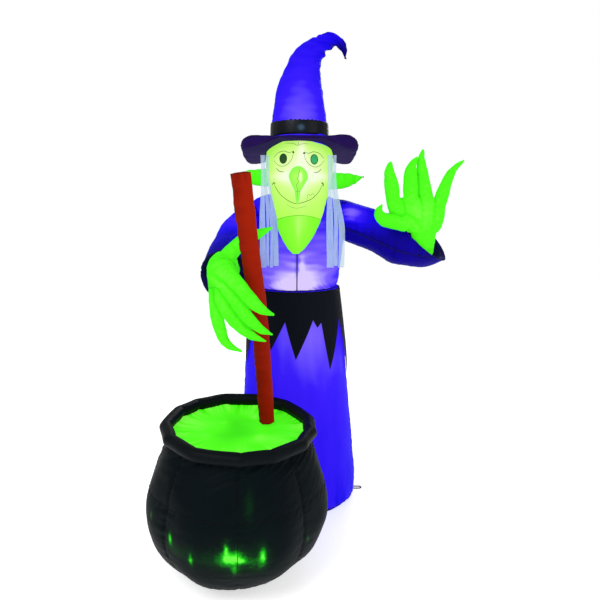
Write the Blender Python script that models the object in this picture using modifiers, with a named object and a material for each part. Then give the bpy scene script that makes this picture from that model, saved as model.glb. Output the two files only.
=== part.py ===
"""Lit, air-blown garden witch that stirs a cauldron.

Sewn fabric chambers stand up by the pressure of a fan in the back of the skirt.  A mast in the skirt
carries a reversing gear motor, which turns everything above the waist, so that the stick sweeps
over the brew.  Metres, +Z up.  The origin is on the ground under the axis of the skirt, and the
witch faces -Y.  "Left" and "right" are the witch's own.
"""

import math

import bmesh
import bpy
from mathutils import Vector

# ---------------------------------------------------------------- driving dimensions
WALL = 0.002  # sewn fabric wall
GAP = 0.0005  # clearance between neighbours
WAIST_Z = 0.870  # seam between the turning torso and the standing skirt
BASE_RADIUS = 0.230  # ground cloth under the witch
PANEL = 0.003  # ground cloth thickness

CAULDRON_X, CAULDRON_Y = -0.190, -0.510
CAULDRON_BASE_RADIUS = 0.128
RIM_Z, RIM_RING, RIM_TUBE = 0.4810, 0.2270, 0.0225
RIM_SHIFT = 0.012  # the rim sits off the middle of the pot, towards +X
RIM_TILT_X, RIM_TILT_Y = math.radians(2.5), math.radians(2.5)  # the rim stands higher behind and at -X

BLOWER_Z = 0.090
BLOWER_RADIUS = 0.075
BLOWER_WALL = 0.003

DRIVE_Z = 0.775  # underside of the gear housing on top of the mast
DRIVE_RADIUS = 0.055
PINION_TEETH, WHEEL_TEETH, MODULE = 12, 36, 0.0015
GEAR_SPACING = (PINION_TEETH + WHEEL_TEETH) / 2 * MODULE + 0.0003

HEAD_X, HEAD_Y = 0.016, -0.030
BRIM_TILT = math.radians(6.5)
BRIM_X, BRIM_Y, BRIM_MIDDLE, BRIM_Z = 0.2170, 0.186, -0.022, 1.3990

# Radius of the round skirt at each height, and half widths of the oval torso.
SKIRT_PROFILE = [
    (0.0035, 0.232), (0.018, 0.244), (0.050, 0.247), (0.120, 0.245), (0.260, 0.233), (0.400, 0.217),
    (0.650, 0.198), (0.790, 0.181), (WAIST_Z - GAP, 0.170),
]
TORSO_PROFILE = [
    (WAIST_Z + GAP, 0.162, 0.162), (0.900, 0.171, 0.168), (0.960, 0.178, 0.165), (1.020, 0.186, 0.155),
    (1.070, 0.193, 0.148), (1.120, 0.196, 0.134), (1.160, 0.190, 0.117), (1.200, 0.172, 0.097),
    (1.222, 0.140, 0.083), (1.237, 0.078, 0.064),
]
CAULDRON_PROFILE = [
    (0.0035, 0.130), (0.020, 0.166), (0.060, 0.220), (0.120, 0.267), (0.190, 0.289), (0.260, 0.291),
    (0.330, 0.278), (0.400, 0.254), (0.4565, 0.2275),
]
BREW_PROFILE = [  # radius, height, and the share of the rim's lean
    (0.2170, 0.4590, 1.0), (0.200, 0.4625, 0.85), (0.170, 0.4640, 0.55), (0.130, 0.4640, 0.2), (0.060, 0.4648, 0.0),
]


# ---------------------------------------------------------------- materials
def material(name, colour, roughness=0.6, metallic=0.0):
    look = bpy.data.materials.new(name)
    look.use_nodes = True
    shader = look.node_tree.nodes["Principled BSDF"]
    shader.inputs["Base Color"].default_value = (*colour, 1.0)
    shader.inputs["Roughness"].default_value = roughness
    shader.inputs["Metallic"].default_value = metallic
    return look


def make_materials():
    return {
        "robe": material("robe_fabric", (0.10, 0.03, 0.80)),
        "black": material("black_fabric", (0.010, 0.012, 0.015)),
        "green": material("green_fabric", (0.12, 0.85, 0.03)),
        "face": material("face_fabric", (0.50, 0.90, 0.15)),
        "brim": material("brim_fabric", (0.035, 0.015, 0.12)),
        "stick": material("stick_fabric", (0.35, 0.025, 0.005)),
        "hair": material("hair_ribbon", (0.70, 0.75, 0.85), 0.4),
        "plastic": material("black_plastic", (0.02, 0.02, 0.022), 0.45),
        "grey": material("grey_plastic", (0.35, 0.36, 0.37), 0.5),
        "lens": material("lamp_lens", (0.90, 0.92, 0.95), 0.15),
        "steel": material("plated_steel", (0.60, 0.61, 0.63), 0.3, 1.0),
        "sand": material("ballast_cloth", (0.45, 0.40, 0.30), 0.8),
        "webbing": material("webbing", (0.015, 0.015, 0.015), 0.8),
        "wire": material("wire_jacket", (0.03, 0.10, 0.04), 0.5),
    }


# ---------------------------------------------------------------- building tools
def clear_scene():
    for obj in list(bpy.data.objects):
        bpy.data.objects.remove(obj)


def new_collection(name):
    collection = bpy.data.collections.new(name)
    bpy.context.scene.collection.children.link(collection)
    return collection


def add_part(name, mesh, look):
    obj = bpy.data.objects.new(name, mesh)
    mesh.materials.append(look)
    PARTS.objects.link(obj)
    return obj


def add_cutter(name, mesh):
    obj = bpy.data.objects.new(name, mesh)
    obj.hide_render = True
    obj.display_type = "WIRE"
    CUTTERS.objects.link(obj)
    return obj


def level_ring(z, rx, ry, x=0.0, y=0.0):
    """A level oval: centre and its two half axes."""
    return Vector((x, y, z)), Vector((rx, 0, 0)), Vector((0, ry, 0))


def rings_along(points, radii, side=(1, 0, 0), flatten=1.0):
    """Rings square to a path, one at each point.  flatten thins them across the side direction."""
    points = [Vector(p) for p in points]
    rings = []
    for i, point in enumerate(points):
        ahead = points[min(i + 1, len(points) - 1)] - points[max(i - 1, 0)]
        ahead.normalize()
        across = Vector(side) - ahead * Vector(side).dot(ahead)
        across.normalize()
        rings.append((point, across * radii[i], ahead.cross(across) * radii[i] * flatten))
    return rings


def smooth_path(points, steps):
    """Points on a Catmull-Rom curve through the given ones, values of any length."""
    ends = [points[0], *points, points[-1]]
    found = []
    for a, b, c, d in zip(ends, ends[1:], ends[2:], ends[3:]):
        for k in range(steps):
            t = k / steps
            found.append(tuple(
                0.5 * (2 * q + (r - p) * t + (2 * p - 5 * q + 4 * r - s) * t * t
                       + (3 * q - p - 3 * r + s) * t ** 3)
                for p, q, r, s in zip(a, b, c, d)
            ))
    return [*found, tuple(points[-1])]


def loft(name, rings, sides=20, open_start=False, open_end=False, square=1.0):
    """A skin through rings of (centre, half axis, half axis), running up its own axis.

    square above 1 fills out the corners of the ovals.
    """
    build = bmesh.new()
    rows = []
    for centre, across, along in rings:
        row = []
        for k in range(sides):
            x, y = math.cos(2 * math.pi * k / sides), math.sin(2 * math.pi * k / sides)
            fill = (abs(x) ** (2 * square) + abs(y) ** (2 * square)) ** (-0.5 / square)
            row.append(build.verts.new(centre + across * x * fill + along * y * fill))
        rows.append(row)
    for low, high in zip(rows, rows[1:]):
        for k in range(sides):
            n = (k + 1) % sides
            build.faces.new((low[k], low[n], high[n]))
            build.faces.new((low[k], high[n], high[k]))
    if not open_start:
        build.faces.new(list(reversed(rows[0])))
    if not open_end:
        build.faces.new(rows[-1])
    mesh = bpy.data.meshes.new(name)
    build.to_mesh(mesh)
    build.free()
    mesh.shade_smooth()
    return mesh


def solidify(obj, thickness=WALL):
    modifier = obj.modifiers.new("Wall", "SOLIDIFY")
    modifier.thickness = thickness
    modifier.offset = -1.0
    return obj


def cut(obj, *cutters):
    for cutter in cutters:
        modifier = obj.modifiers.new("Cut", "BOOLEAN")
        modifier.operation = "DIFFERENCE"
        modifier.object = cutter
    return obj


def turned(name, profile, look, steps=24):
    """A closed or open profile of (radius, z), top to bottom on its outer side, turned about Z."""
    mesh = bpy.data.meshes.new(name)
    edges = [(k, k + 1) for k in range(len(profile) - 1)]
    mesh.from_pydata([(r, 0, z) for r, z in profile], edges, [])
    obj = add_part(name, mesh, look)
    screw = obj.modifiers.new("Turn", "SCREW")
    screw.steps = screw.render_steps = steps
    screw.use_merge_vertices = True
    screw.merge_threshold = 0.00005
    screw.use_smooth_shade = True
    return obj


def tube(name, points, radius, look, sides=2):
    """A round wire or rod along points."""
    curve = bpy.data.curves.new(name, "CURVE")
    curve.dimensions = "3D"
    curve.bevel_depth = radius
    curve.bevel_resolution = sides
    curve.use_fill_caps = True
    spline = curve.splines.new("POLY")
    spline.points.add(len(points) - 1)
    for target, point in zip(spline.points, points):
        target.co = (*point, 1.0)
    obj = bpy.data.objects.new(name, curve)
    curve.materials.append(look)
    PARTS.objects.link(obj)
    return obj


def plate(name, outlines, thickness, look):
    """A flat piece in the XY plane, cut from outlines; every outline inside the first is a hole."""
    curve = bpy.data.curves.new(name, "CURVE")
    curve.dimensions = "2D"
    curve.fill_mode = "BOTH"
    curve.extrude = thickness / 2
    for outline in outlines:
        spline = curve.splines.new("POLY")
        spline.use_cyclic_u = True
        spline.points.add(len(outline) - 1)
        for target, point in zip(spline.points, outline):
            target.co = (*point, 0.0, 1.0)
    obj = bpy.data.objects.new(name, curve)
    curve.materials.append(look)
    PARTS.objects.link(obj)
    return obj


def ring_torus(name, ring, thick, counts, centre, turn, look):
    bpy.ops.mesh.primitive_torus_add(
        major_radius=ring, minor_radius=thick, major_segments=counts[0], minor_segments=counts[1],
        location=centre, rotation=turn,
    )
    obj = bpy.context.object
    obj.name = name
    obj.data.materials.append(look)
    for collection in list(obj.users_collection):
        collection.objects.unlink(obj)
    PARTS.objects.link(obj)
    return obj


def circle(radius, count, x=0.0, y=0.0):
    turns = [2 * math.pi * k / count for k in range(count)]
    return [(x + radius * math.cos(t), y + radius * math.sin(t)) for t in turns]


def cylinder_mesh(name, radius, depth, sides=24):
    build = bmesh.new()
    bmesh.ops.create_cone(build, cap_ends=True, segments=sides, radius1=radius, radius2=radius, depth=depth)
    mesh = bpy.data.meshes.new(name)
    build.to_mesh(mesh)
    build.free()
    return mesh


def rod_cutter(name, start, end, radius, sides=20):
    """A cylinder between two points, for cutting with."""
    start, end = Vector(start), Vector(end)
    obj = add_cutter(name, cylinder_mesh(name, radius, (end - start).length, sides))
    obj.location = (start + end) / 2
    obj.rotation_euler = (end - start).to_track_quat("Z", "Y").to_euler()
    return obj


def profile_value(profile, z, column=1):
    """The half width that a profile has at a height, by straight lines between its points."""
    for low, high in zip(profile, profile[1:]):
        if z <= high[0]:
            share = max(0.0, (z - low[0]) / (high[0] - low[0]))
            return low[column] + share * (high[column] - low[column])
    return profile[-1][column]


def grown(rings, amount):
    """The same rings with every half axis longer by amount."""
    return [(c, u * (1 + amount / u.length), v * (1 + amount / v.length)) for c, u, v in rings]


# ---------------------------------------------------------------- cauldron
def leaning_axes(r, lean):
    """The half axes of a ring that leans by a share of the rim's own lean."""
    across = Vector((r, 0, -r * math.tan(RIM_TILT_Y) * lean))
    along = Vector((0, r, r * math.tan(RIM_TILT_X) * lean))
    return across, along


def cauldron_rings(amount=0.0):
    """Rings of the pot, level at the ground and leaning with the rim at the top."""
    rings = []
    for z, r in CAULDRON_PROFILE:
        lean = (z / RIM_Z) ** 2
        rings.append((Vector((CAULDRON_X + RIM_SHIFT * lean, CAULDRON_Y, z)), *leaning_axes(r + amount, lean)))
    return rings


def make_cauldron(looks):
    shell = add_part("cauldron_shell", loft("cauldron_shell", cauldron_rings(), 28, open_start=True, open_end=True),
                     looks["black"])
    solidify(shell)
    base = add_part("cauldron_base_panel", cylinder_mesh("cauldron_base_panel", CAULDRON_BASE_RADIUS, PANEL, 28),
                    looks["black"])
    base.location = (CAULDRON_X, CAULDRON_Y, PANEL / 2)
    ring_torus("cauldron_rim", RIM_RING, RIM_TUBE, (28, 9), (CAULDRON_X + RIM_SHIFT, CAULDRON_Y, RIM_Z),
               (RIM_TILT_X, RIM_TILT_Y, 0), looks["black"])
    middle_x = CAULDRON_X + RIM_SHIFT
    rings = [(Vector((middle_x, CAULDRON_Y, z)), *leaning_axes(r, lean)) for r, z, lean in BREW_PROFILE]
    solidify(add_part("brew_panel", loft("brew_panel", rings, 24, open_start=True), looks["green"]))
    return shell


def make_cauldron_bulbs(looks):
    """Three bulbs lying behind the lower front of the cauldron, and the lead that feeds them."""
    places = {"left": (-0.330, -0.610), "middle": (-0.205, -0.690), "right": (-0.110, -0.670)}
    for side, (x, y) in places.items():
        name = f"cauldron_bulb_{side}"
        bulb = turned(name, [(0.0, 0.030), (0.006, 0.027), (0.009, 0.020), (0.009, 0.010), (0.006, 0.0), (0.0, 0.0)],
                      looks["lens"], 12)
        bulb.location = (x, y, 0.052)
    route = [(-0.060, -0.150, 0.020), (-0.105, -0.270, 0.120), (-0.150, -0.400, 0.110), (-0.220, -0.520, 0.020),
             (-0.320, -0.590, 0.025), (-0.330, -0.612, 0.046), (-0.270, -0.650, 0.035), (-0.205, -0.685, 0.046),
             (-0.150, -0.680, 0.038), (-0.110, -0.668, 0.0475)]
    tube("cauldron_lamp_lead", smooth_path(route, 4), 0.002, looks["wire"], 1)


def make_duct(looks, skirt, cauldron):
    """The short fabric sleeve that carries air from the skirt into the cauldron."""
    heading = Vector((CAULDRON_X, CAULDRON_Y, 0)).normalized()
    height = Vector((0, 0, 0.125))
    start, end = heading * 0.20 + height, heading * 0.32 + height
    duct = add_part("air_duct", loft("air_duct", rings_along([start, end], [0.052, 0.052]), 20,
                                     open_start=True, open_end=True), looks["black"])
    solidify(duct)
    skirt_skin = add_cutter("skirt_skin", loft("skirt_skin", [level_ring(z, r + GAP, r + GAP)
                                                             for z, r in SKIRT_PROFILE], 28))
    pot_skin = add_cutter("pot_skin", loft("pot_skin", cauldron_rings(GAP), 28))
    cut(duct, skirt_skin, pot_skin)
    passage = rod_cutter("air_passage", heading * 0.19 + height, heading * 0.33 + height, 0.046)
    cut(skirt, passage)
    cut(cauldron, passage)


# ---------------------------------------------------------------- skirt
def make_skirt(looks):
    skirt = turned("skirt", [(r, z) for z, r in reversed(SKIRT_PROFILE)], looks["robe"], 28)
    solidify(skirt)
    blower_hole = rod_cutter("blower_hole", (0, 0.15, BLOWER_Z), (0, 0.30, BLOWER_Z), BLOWER_RADIUS + 0.0015, 28)
    cut(skirt, blower_hole)
    panel = add_part("witch_base_panel", cylinder_mesh("witch_base_panel", BASE_RADIUS, PANEL, 28), looks["robe"])
    panel.location = (0, 0, PANEL / 2)
    return skirt


# Torn hem of the sash: degrees round from the front towards +X, and height.
SASH_HEM = [
    (-27, 0.648), (-11.5, 0.757), (0.6, 0.617), (20.7, 0.763), (25.6, 0.733), (30.7, 0.751), (39, 0.567),
    (62, 0.753), (77, 0.510), (95, 0.755), (112, 0.600), (128, 0.745), (146, 0.560), (163, 0.750), (182, 0.610),
    (200, 0.757), (219, 0.545), (237, 0.748), (254, 0.600), (272, 0.755), (290, 0.560), (307, 0.745), (320, 0.640),
    (327, 0.700), (333, 0.648),
]


def make_sash(looks):
    """Black cloth round the top of the skirt, with a torn hem, built column by column."""
    hem = []
    for (a, za), (b, zb) in zip(SASH_HEM, SASH_HEM[1:]):
        hem += [(a, za), ((a + b) / 2, (za + zb) / 2)]
    rows = 2
    build = bmesh.new()
    columns = []
    for degrees, low in hem:
        turn = math.radians(degrees)
        column = []
        for k in range(rows + 1):
            z = WAIST_Z - 0.001 + (low - WAIST_Z + 0.001) * k / rows
            r = profile_value(SKIRT_PROFILE, z) + 0.0042
            column.append(build.verts.new((r * math.sin(turn), -r * math.cos(turn), z)))
        columns.append(column)
    for here, there in zip(columns, columns[1:] + columns[:1]):
        for k in range(rows):
            build.faces.new((here[k], here[k + 1], there[k + 1], there[k]))
    mesh = bpy.data.meshes.new("waist_sash")
    build.to_mesh(mesh)
    build.free()
    solidify(add_part("waist_sash", mesh, looks["black"]), 0.0015)


def box_mesh(name, x, y, z):
    build = bmesh.new()
    bmesh.ops.create_cube(build, size=1.0)
    bmesh.ops.scale(build, vec=(x, y, z), verts=build.verts)
    mesh = bpy.data.meshes.new(name)
    build.to_mesh(mesh)
    build.free()
    return mesh


def make_zip(looks):
    """Deflation zip up the back of the skirt: tape, and a slider that runs along it."""
    low, high = [Vector((0, profile_value(SKIRT_PROFILE, z) + 0.0016, z)) for z in (0.405, 0.595)]
    lean = (high - low).to_track_quat("Z", "Y").to_euler()
    tape = add_part("zip_tape", box_mesh("zip_tape", 0.030, 0.002, (high - low).length), looks["plastic"])
    tape.location = (low + high) / 2
    tape.rotation_euler = lean
    slider = add_part("zip_slider", box_mesh("zip_slider", 0.012, 0.005, 0.018), looks["steel"])
    slider.location = low.lerp(high, 0.93) + Vector((0, 0.0042, 0.0004))
    slider.rotation_euler = lean


def make_stake_loops(looks):
    """Flat webbing loops sewn to the ground cloth, one for each ground stake."""
    start, end, half = 0.2315, 0.2800, 0.011
    for name, degrees in (("right", 180), ("left", 0), ("back", 60)):
        tip = [(end - half + half * math.sin(t), half * math.cos(t))
               for t in [math.pi * k / 8 for k in range(9)]]
        outline = [(start, half), *tip, (start, -half)]
        loop = plate(f"stake_loop_{name}", [outline, circle(0.0065, 12, end - half, 0)], PANEL, looks["webbing"])
        loop.location = (0, 0, PANEL / 2)
        loop.rotation_euler = (0, 0, math.radians(degrees))


# ---------------------------------------------------------------- blower in the back of the skirt
BLOWER_FRONT_Y, BLOWER_REAR_Y = 0.1395, 0.2000  # where the two halves of the housing start
IMPELLER_BLADES, IMPELLER_HUB, IMPELLER_TIP = 9, 0.016, 0.056


def sector_points(radius, middle, spreads):
    """Points at one radius, at angles either side of a middle one."""
    return [(radius * math.cos(middle + a), radius * math.sin(middle + a)) for a in spreads]


def grille_slots(count=10):
    slots = []
    for k in range(count):
        middle = 2 * math.pi * k / count
        slots.append(sector_points(0.056, middle, (-0.22, 0, 0.22)) + sector_points(0.018, middle, (0.16, -0.16)))
    return slots


def impeller_outline():
    """Swept blades round a hub."""
    shoulder = IMPELLER_TIP * 0.7
    outline = []
    for k in range(IMPELLER_BLADES):
        turn = 2 * math.pi * k / IMPELLER_BLADES
        for radius, angle in ((IMPELLER_HUB, -0.20), (shoulder, 0.02), (IMPELLER_TIP, 0.30), (IMPELLER_TIP, 0.35),
                              (shoulder, 0.12), (IMPELLER_HUB, 0.12)):
            outline += sector_points(radius, turn, (angle,))
    return outline


def make_blower(looks):
    inside = BLOWER_RADIUS - BLOWER_WALL
    facing_back = (math.radians(-90), 0, 0)  # local +Z looks along +Y
    rear = turned("blower_rear_housing", [
        (0.064, 0.062), (0.086, 0.062), (0.086, 0.058), (BLOWER_RADIUS, 0.056), (BLOWER_RADIUS, 0.0), (inside, 0.0),
        (inside, 0.054), (0.064, 0.054), (0.064, 0.062),
    ], looks["plastic"], 28)
    rear.location = (0, BLOWER_REAR_Y, BLOWER_Z)
    front = turned("blower_front_housing", [
        (BLOWER_RADIUS, 0.0600), (BLOWER_RADIUS, 0.012), (0.060, 0.0), (0.0, 0.0), (0.0, BLOWER_WALL),
        (0.058, BLOWER_WALL), (inside, 0.014), (inside, 0.0600), (BLOWER_RADIUS, 0.0600),
    ], looks["plastic"], 28)
    front.location = (0, BLOWER_FRONT_Y, BLOWER_Z)
    outlets = 6
    for k in range(outlets):
        turn = 2 * math.pi * k / outlets
        x, z = 0.044 * math.cos(turn), BLOWER_Z + 0.044 * math.sin(turn)
        cut(front, rod_cutter(f"outlet_{k}", (x, 0.130, z), (x, 0.150, z), 0.012, 10))
    grille = plate("blower_grille", [circle(0.0635, 28), *grille_slots()], 0.003, looks["plastic"])
    grille.location = (0, 0.2595, BLOWER_Z)
    motor = add_part("blower_motor", cylinder_mesh("blower_motor", 0.027, 0.048, 20), looks["steel"])
    motor.location = (0, 0.1670, BLOWER_Z)
    impeller = plate("blower_impeller", [impeller_outline()], 0.030, looks["grey"])
    impeller.location = (0, 0.2150, BLOWER_Z)
    gland = turned("cord_gland", [(0.0, 0.018), (0.0045, 0.018), (0.0075, 0.0), (0.0, 0.0)], looks["plastic"], 12)
    gland.location = (0.050, 0.2623, BLOWER_Z - 0.0550)
    for piece in (rear, front, grille, motor, impeller, gland):
        piece.rotation_euler = facing_back
    ring_torus("blower_collar", BLOWER_RADIUS + 0.0060, 0.0035, (24, 5), (0, 0.2535, BLOWER_Z),
               (math.radians(90), 0, 0), looks["webbing"])


# ---------------------------------------------------------------- mast and stirring drive
def make_mast(looks):
    turned("mast_foot", [(0.0, 0.0150), (0.017, 0.0150), (0.020, 0.0095), (0.062, 0.0065), (0.062, 0.0035),
                         (0.0, 0.0035)], looks["plastic"], 24)
    mast = add_part("mast_tube", cylinder_mesh("mast_tube", 0.012, DRIVE_Z - 0.0158, 16), looks["steel"])
    mast.location = (0, 0, (DRIVE_Z + 0.0152) / 2)
    ballast = add_part("ballast_bag", box_mesh("ballast_bag", 0.180, 0.105, 0.055), looks["sand"])
    ballast.location = (0.030, -0.135, 0.0320)
    bevel = ballast.modifiers.new("Round", "BEVEL")
    bevel.width = 0.024
    bevel.segments = 3


def gear_outline(teeth, addendum=0.9, dedendum=1.25):
    """Slim straight-sided teeth, with enough backlash to run free."""
    pitch, step = teeth * MODULE / 2, 2 * math.pi / teeth
    root, tip = pitch - dedendum * MODULE, pitch + addendum * MODULE
    outline = []
    for k in range(teeth):
        middle = k * step
        for radius, share in ((root, -0.30), (tip, -0.10), (tip, 0.10), (root, 0.30)):
            outline.append((radius * math.cos(middle + share * step), radius * math.sin(middle + share * step)))
    return outline


def make_drive(looks):
    housing = turned("drive_housing", [
        (DRIVE_RADIUS, 0.050), (DRIVE_RADIUS, 0.0), (0.0, 0.0), (0.0, 0.003), (DRIVE_RADIUS - 0.003, 0.003),
        (DRIVE_RADIUS - 0.003, 0.050), (DRIVE_RADIUS, 0.050),
    ], looks["grey"], 28)
    housing.location = (0, 0, DRIVE_Z)
    cover = plate("drive_cover", [circle(DRIVE_RADIUS, 28), circle(0.009, 16)], 0.003, looks["grey"])
    cover.location = (0, 0, DRIVE_Z + 0.0520)
    motor = add_part("stir_motor", cylinder_mesh("stir_motor", 0.0245, 0.021, 24), looks["steel"])
    motor.location = (0.0235, 0, DRIVE_Z + 0.0140)
    wheel = plate("output_gear", [gear_outline(WHEEL_TEETH), circle(0.0066, 14)], 0.008, looks["grey"])
    wheel.location = (0, 0, DRIVE_Z + 0.0340)
    pinion = plate("drive_pinion", [gear_outline(PINION_TEETH)], 0.008, looks["grey"])
    pinion.location = (GEAR_SPACING, 0, DRIVE_Z + 0.0340)
    pinion.rotation_euler = (0, 0, math.pi / PINION_TEETH)
    spindle = add_part("spindle", cylinder_mesh("spindle", 0.006, 0.425, 14), looks["steel"])
    spindle.location = (0, 0, DRIVE_Z + 0.0300 + 0.2125)
    frame = [(0.135, 0.0135, 1.118), (0.000, 0.0135, 1.125), (-0.120, 0.0135, 1.120), (-0.190, -0.020, 1.105),
             (-0.235, -0.110, 1.060), (-0.255, -0.220, 1.010), (-0.257, -0.265, 0.990)]
    tube("arm_frame", smooth_path(frame, 3), 0.006, looks["steel"])


def make_lamps(looks):
    """Three lamp pods, each a housing with a domed lens, and the leads that feed them."""
    pods = {"skirt": (0.0, -0.040, 0.680), "torso": (0.0, -0.034, 0.930), "head": (0.012, -0.045, 1.285)}
    for place, spot in pods.items():
        housing = turned(f"{place}_lamp_housing", [
            (0.024, 0.014), (0.026, 0.0), (0.0, 0.0), (0.0, 0.004), (0.022, 0.004), (0.022, 0.014), (0.024, 0.014),
        ], looks["plastic"], 18)
        lens = turned(f"{place}_lamp_lens", [
            (0.0, 0.030), (0.010, 0.0285), (0.018, 0.023), (0.0215, 0.0145), (0.0215, 0.0046), (0.0, 0.0046),
        ], looks["lens"], 18)
        for piece in (housing, lens):
            piece.location = spot
            piece.rotation_euler = (math.radians(90), 0, 0)
    lower = [(0.018, 0.137, 0.030), (0.030, 0.090, 0.012), (0.024, 0.028, 0.030), (0.018, 0.008, 0.120),
             (0.018, 0.004, 0.400), (0.018, -0.006, 0.640), (0.010, -0.022, 0.668), (0.010, -0.034, 0.675)]
    tube("lower_lamp_lead", smooth_path(lower, 3), 0.002, looks["wire"], 1)
    upper = [(0.012, -0.029, 0.945), (0.013, -0.010, 0.960), (0.010, 0.000, 1.060), (0.010, -0.006, 1.180),
             (0.011, -0.020, 1.250), (0.012, -0.036, 1.272)]
    tube("upper_lamp_lead", smooth_path(upper, 3), 0.002, looks["wire"], 1)


# ---------------------------------------------------------------- torso and arms
def torso_rings(amount=0.0):
    return [level_ring(z, rx + amount, ry + amount) for z, rx, ry in TORSO_PROFILE]


def dished(rings):
    """Adds the facing of a cuff: a lip, then a shallow dish back into the sleeve."""
    centre, across, along = rings[-1]
    inward = -across.cross(along).normalized()
    lip = (centre + inward * 0.004, across * 0.93, along * 0.93)
    dish = (centre + inward * 0.021, across * 0.55, along * 0.55)
    return [*rings, lip, dish]


def right_sleeve_rings():
    """The arm that reaches forward and down to the stick."""
    path = [(-0.120, 0.000, 1.140), (-0.166, -0.030, 1.116), (-0.198, -0.090, 1.086), (-0.215, -0.160, 1.044),
            (-0.226, -0.235, 0.992), (-0.234, -0.310, 0.938)]
    rings = rings_along(path, [0.070, 0.075, 0.079, 0.083, 0.088, 0.092], side=(1, 0, 0))
    deeper = [1.0, 1.0, 1.0, 1.04, 1.16, 1.34]
    return dished([(c, u, v * more) for (c, u, v), more in zip(rings, deeper)])


def left_sleeve_rings():
    """Rings of the raised arm: a wide bell whose slanted mouth opens up, forward and outward."""
    down, back = Vector((0, 0, -1)), Vector((0, 1, 0))
    return dished([
        (Vector((0.120, 0.000, 1.140)), down * 0.070, back * 0.070),
        (Vector((0.190, -0.012, 1.130)), down * 0.080, back * 0.078),
        (Vector((0.265, -0.035, 1.105)), down * 0.083, back * 0.082),
        (Vector((0.335, -0.060, 1.075)), down * 0.088, back * 0.088),
        (Vector((0.385, -0.080, 1.058)), down * 0.095, back * 0.093),
        (Vector((0.432, -0.100, 1.050)), Vector((0.062, 0.000, -0.086)), Vector((0.000, 0.098, 0.012))),
        (Vector((0.468, -0.120, 1.084)), Vector((0.095, 0.000, -0.073)), Vector((0.000, 0.090, 0.053))),
    ])


def make_torso_and_sleeves(looks):
    torso = add_part("torso", loft("torso", torso_rings(), 24, open_start=True, open_end=True), looks["robe"])
    solidify(torso)
    cut(torso, rod_cutter("right_armhole", (-0.080, 0.012, 1.138), (-0.240, -0.045, 1.105), 0.052),
        rod_cutter("left_armhole", (0.080, 0.000, 1.140), (0.260, -0.025, 1.115), 0.052))
    torso_skin = add_cutter("torso_skin", loft("torso_skin", torso_rings(GAP), 24))
    skins = {}
    for side, rings in (("right", right_sleeve_rings()), ("left", left_sleeve_rings())):
        sleeve = add_part(f"{side}_sleeve", loft(f"{side}_sleeve", rings, 16, open_start=True), looks["robe"])
        solidify(sleeve)
        cut(sleeve, torso_skin)
        outward = (rings[-3][0] - rings[-1][0]).normalized() * 2 * GAP
        mouth = grown(rings[:-2], GAP)
        mouth += [(c + outward, u, v) for c, u, v in grown(rings[-3:-2], GAP) + rings[-2:]]
        skins[side] = add_cutter(f"{side}_sleeve_skin", loft(f"{side}_sleeve_skin", mouth, 16))
    return skins


def finger(name, points, radii):
    """One tapering finger as a closed loft."""
    values = smooth_path([(*p, r) for p, r in zip(points, radii)], 3)
    path, sizes = [v[:3] for v in values], [v[3] for v in values]
    return loft(name, rings_along(path, sizes, side=(0, 1, 0.15)), 10)


def merged_hand(name, meshes, look, voxel=0.0075, keep=0.11):
    """Palm, wrist and fingers made one skin."""
    build = bmesh.new()
    for mesh in meshes:
        build.from_mesh(mesh)
    mesh = bpy.data.meshes.new(name)
    build.to_mesh(mesh)
    build.free()
    hand = add_part(name, mesh, look)
    remesh = hand.modifiers.new("One skin", "REMESH")
    remesh.mode = "VOXEL"
    remesh.voxel_size = voxel
    fewer = hand.modifiers.new("Fewer faces", "DECIMATE")
    fewer.ratio = keep
    return hand


LEFT_FINGERS = {
    "index": ([(0.372, -0.190, 1.150), (0.352, -0.205, 1.200), (0.341, -0.215, 1.262), (0.333, -0.210, 1.310),
               (0.340, -0.200, 1.340)], [0.026, 0.026, 0.025, 0.016, 0.005]),
    "middle": ([(0.425, -0.190, 1.150), (0.415, -0.200, 1.200), (0.410, -0.205, 1.270), (0.413, -0.205, 1.320),
                (0.434, -0.200, 1.356)], [0.026, 0.026, 0.025, 0.018, 0.005]),
    "ring": ([(0.470, -0.185, 1.150), (0.470, -0.190, 1.210), (0.458, -0.190, 1.275), (0.451, -0.185, 1.340),
              (0.455, -0.185, 1.384)], [0.026, 0.026, 0.023, 0.015, 0.005]),
    "little": ([(0.505, -0.180, 1.150), (0.524, -0.185, 1.205), (0.540, -0.190, 1.262), (0.565, -0.190, 1.312),
                (0.603, -0.190, 1.347)], [0.025, 0.025, 0.020, 0.013, 0.004]),
    "thumb": ([(0.400, -0.200, 1.120), (0.350, -0.215, 1.130), (0.312, -0.225, 1.140), (0.297, -0.225, 1.165),
               (0.310, -0.220, 1.192)], [0.028, 0.026, 0.023, 0.015, 0.004]),
}
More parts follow.
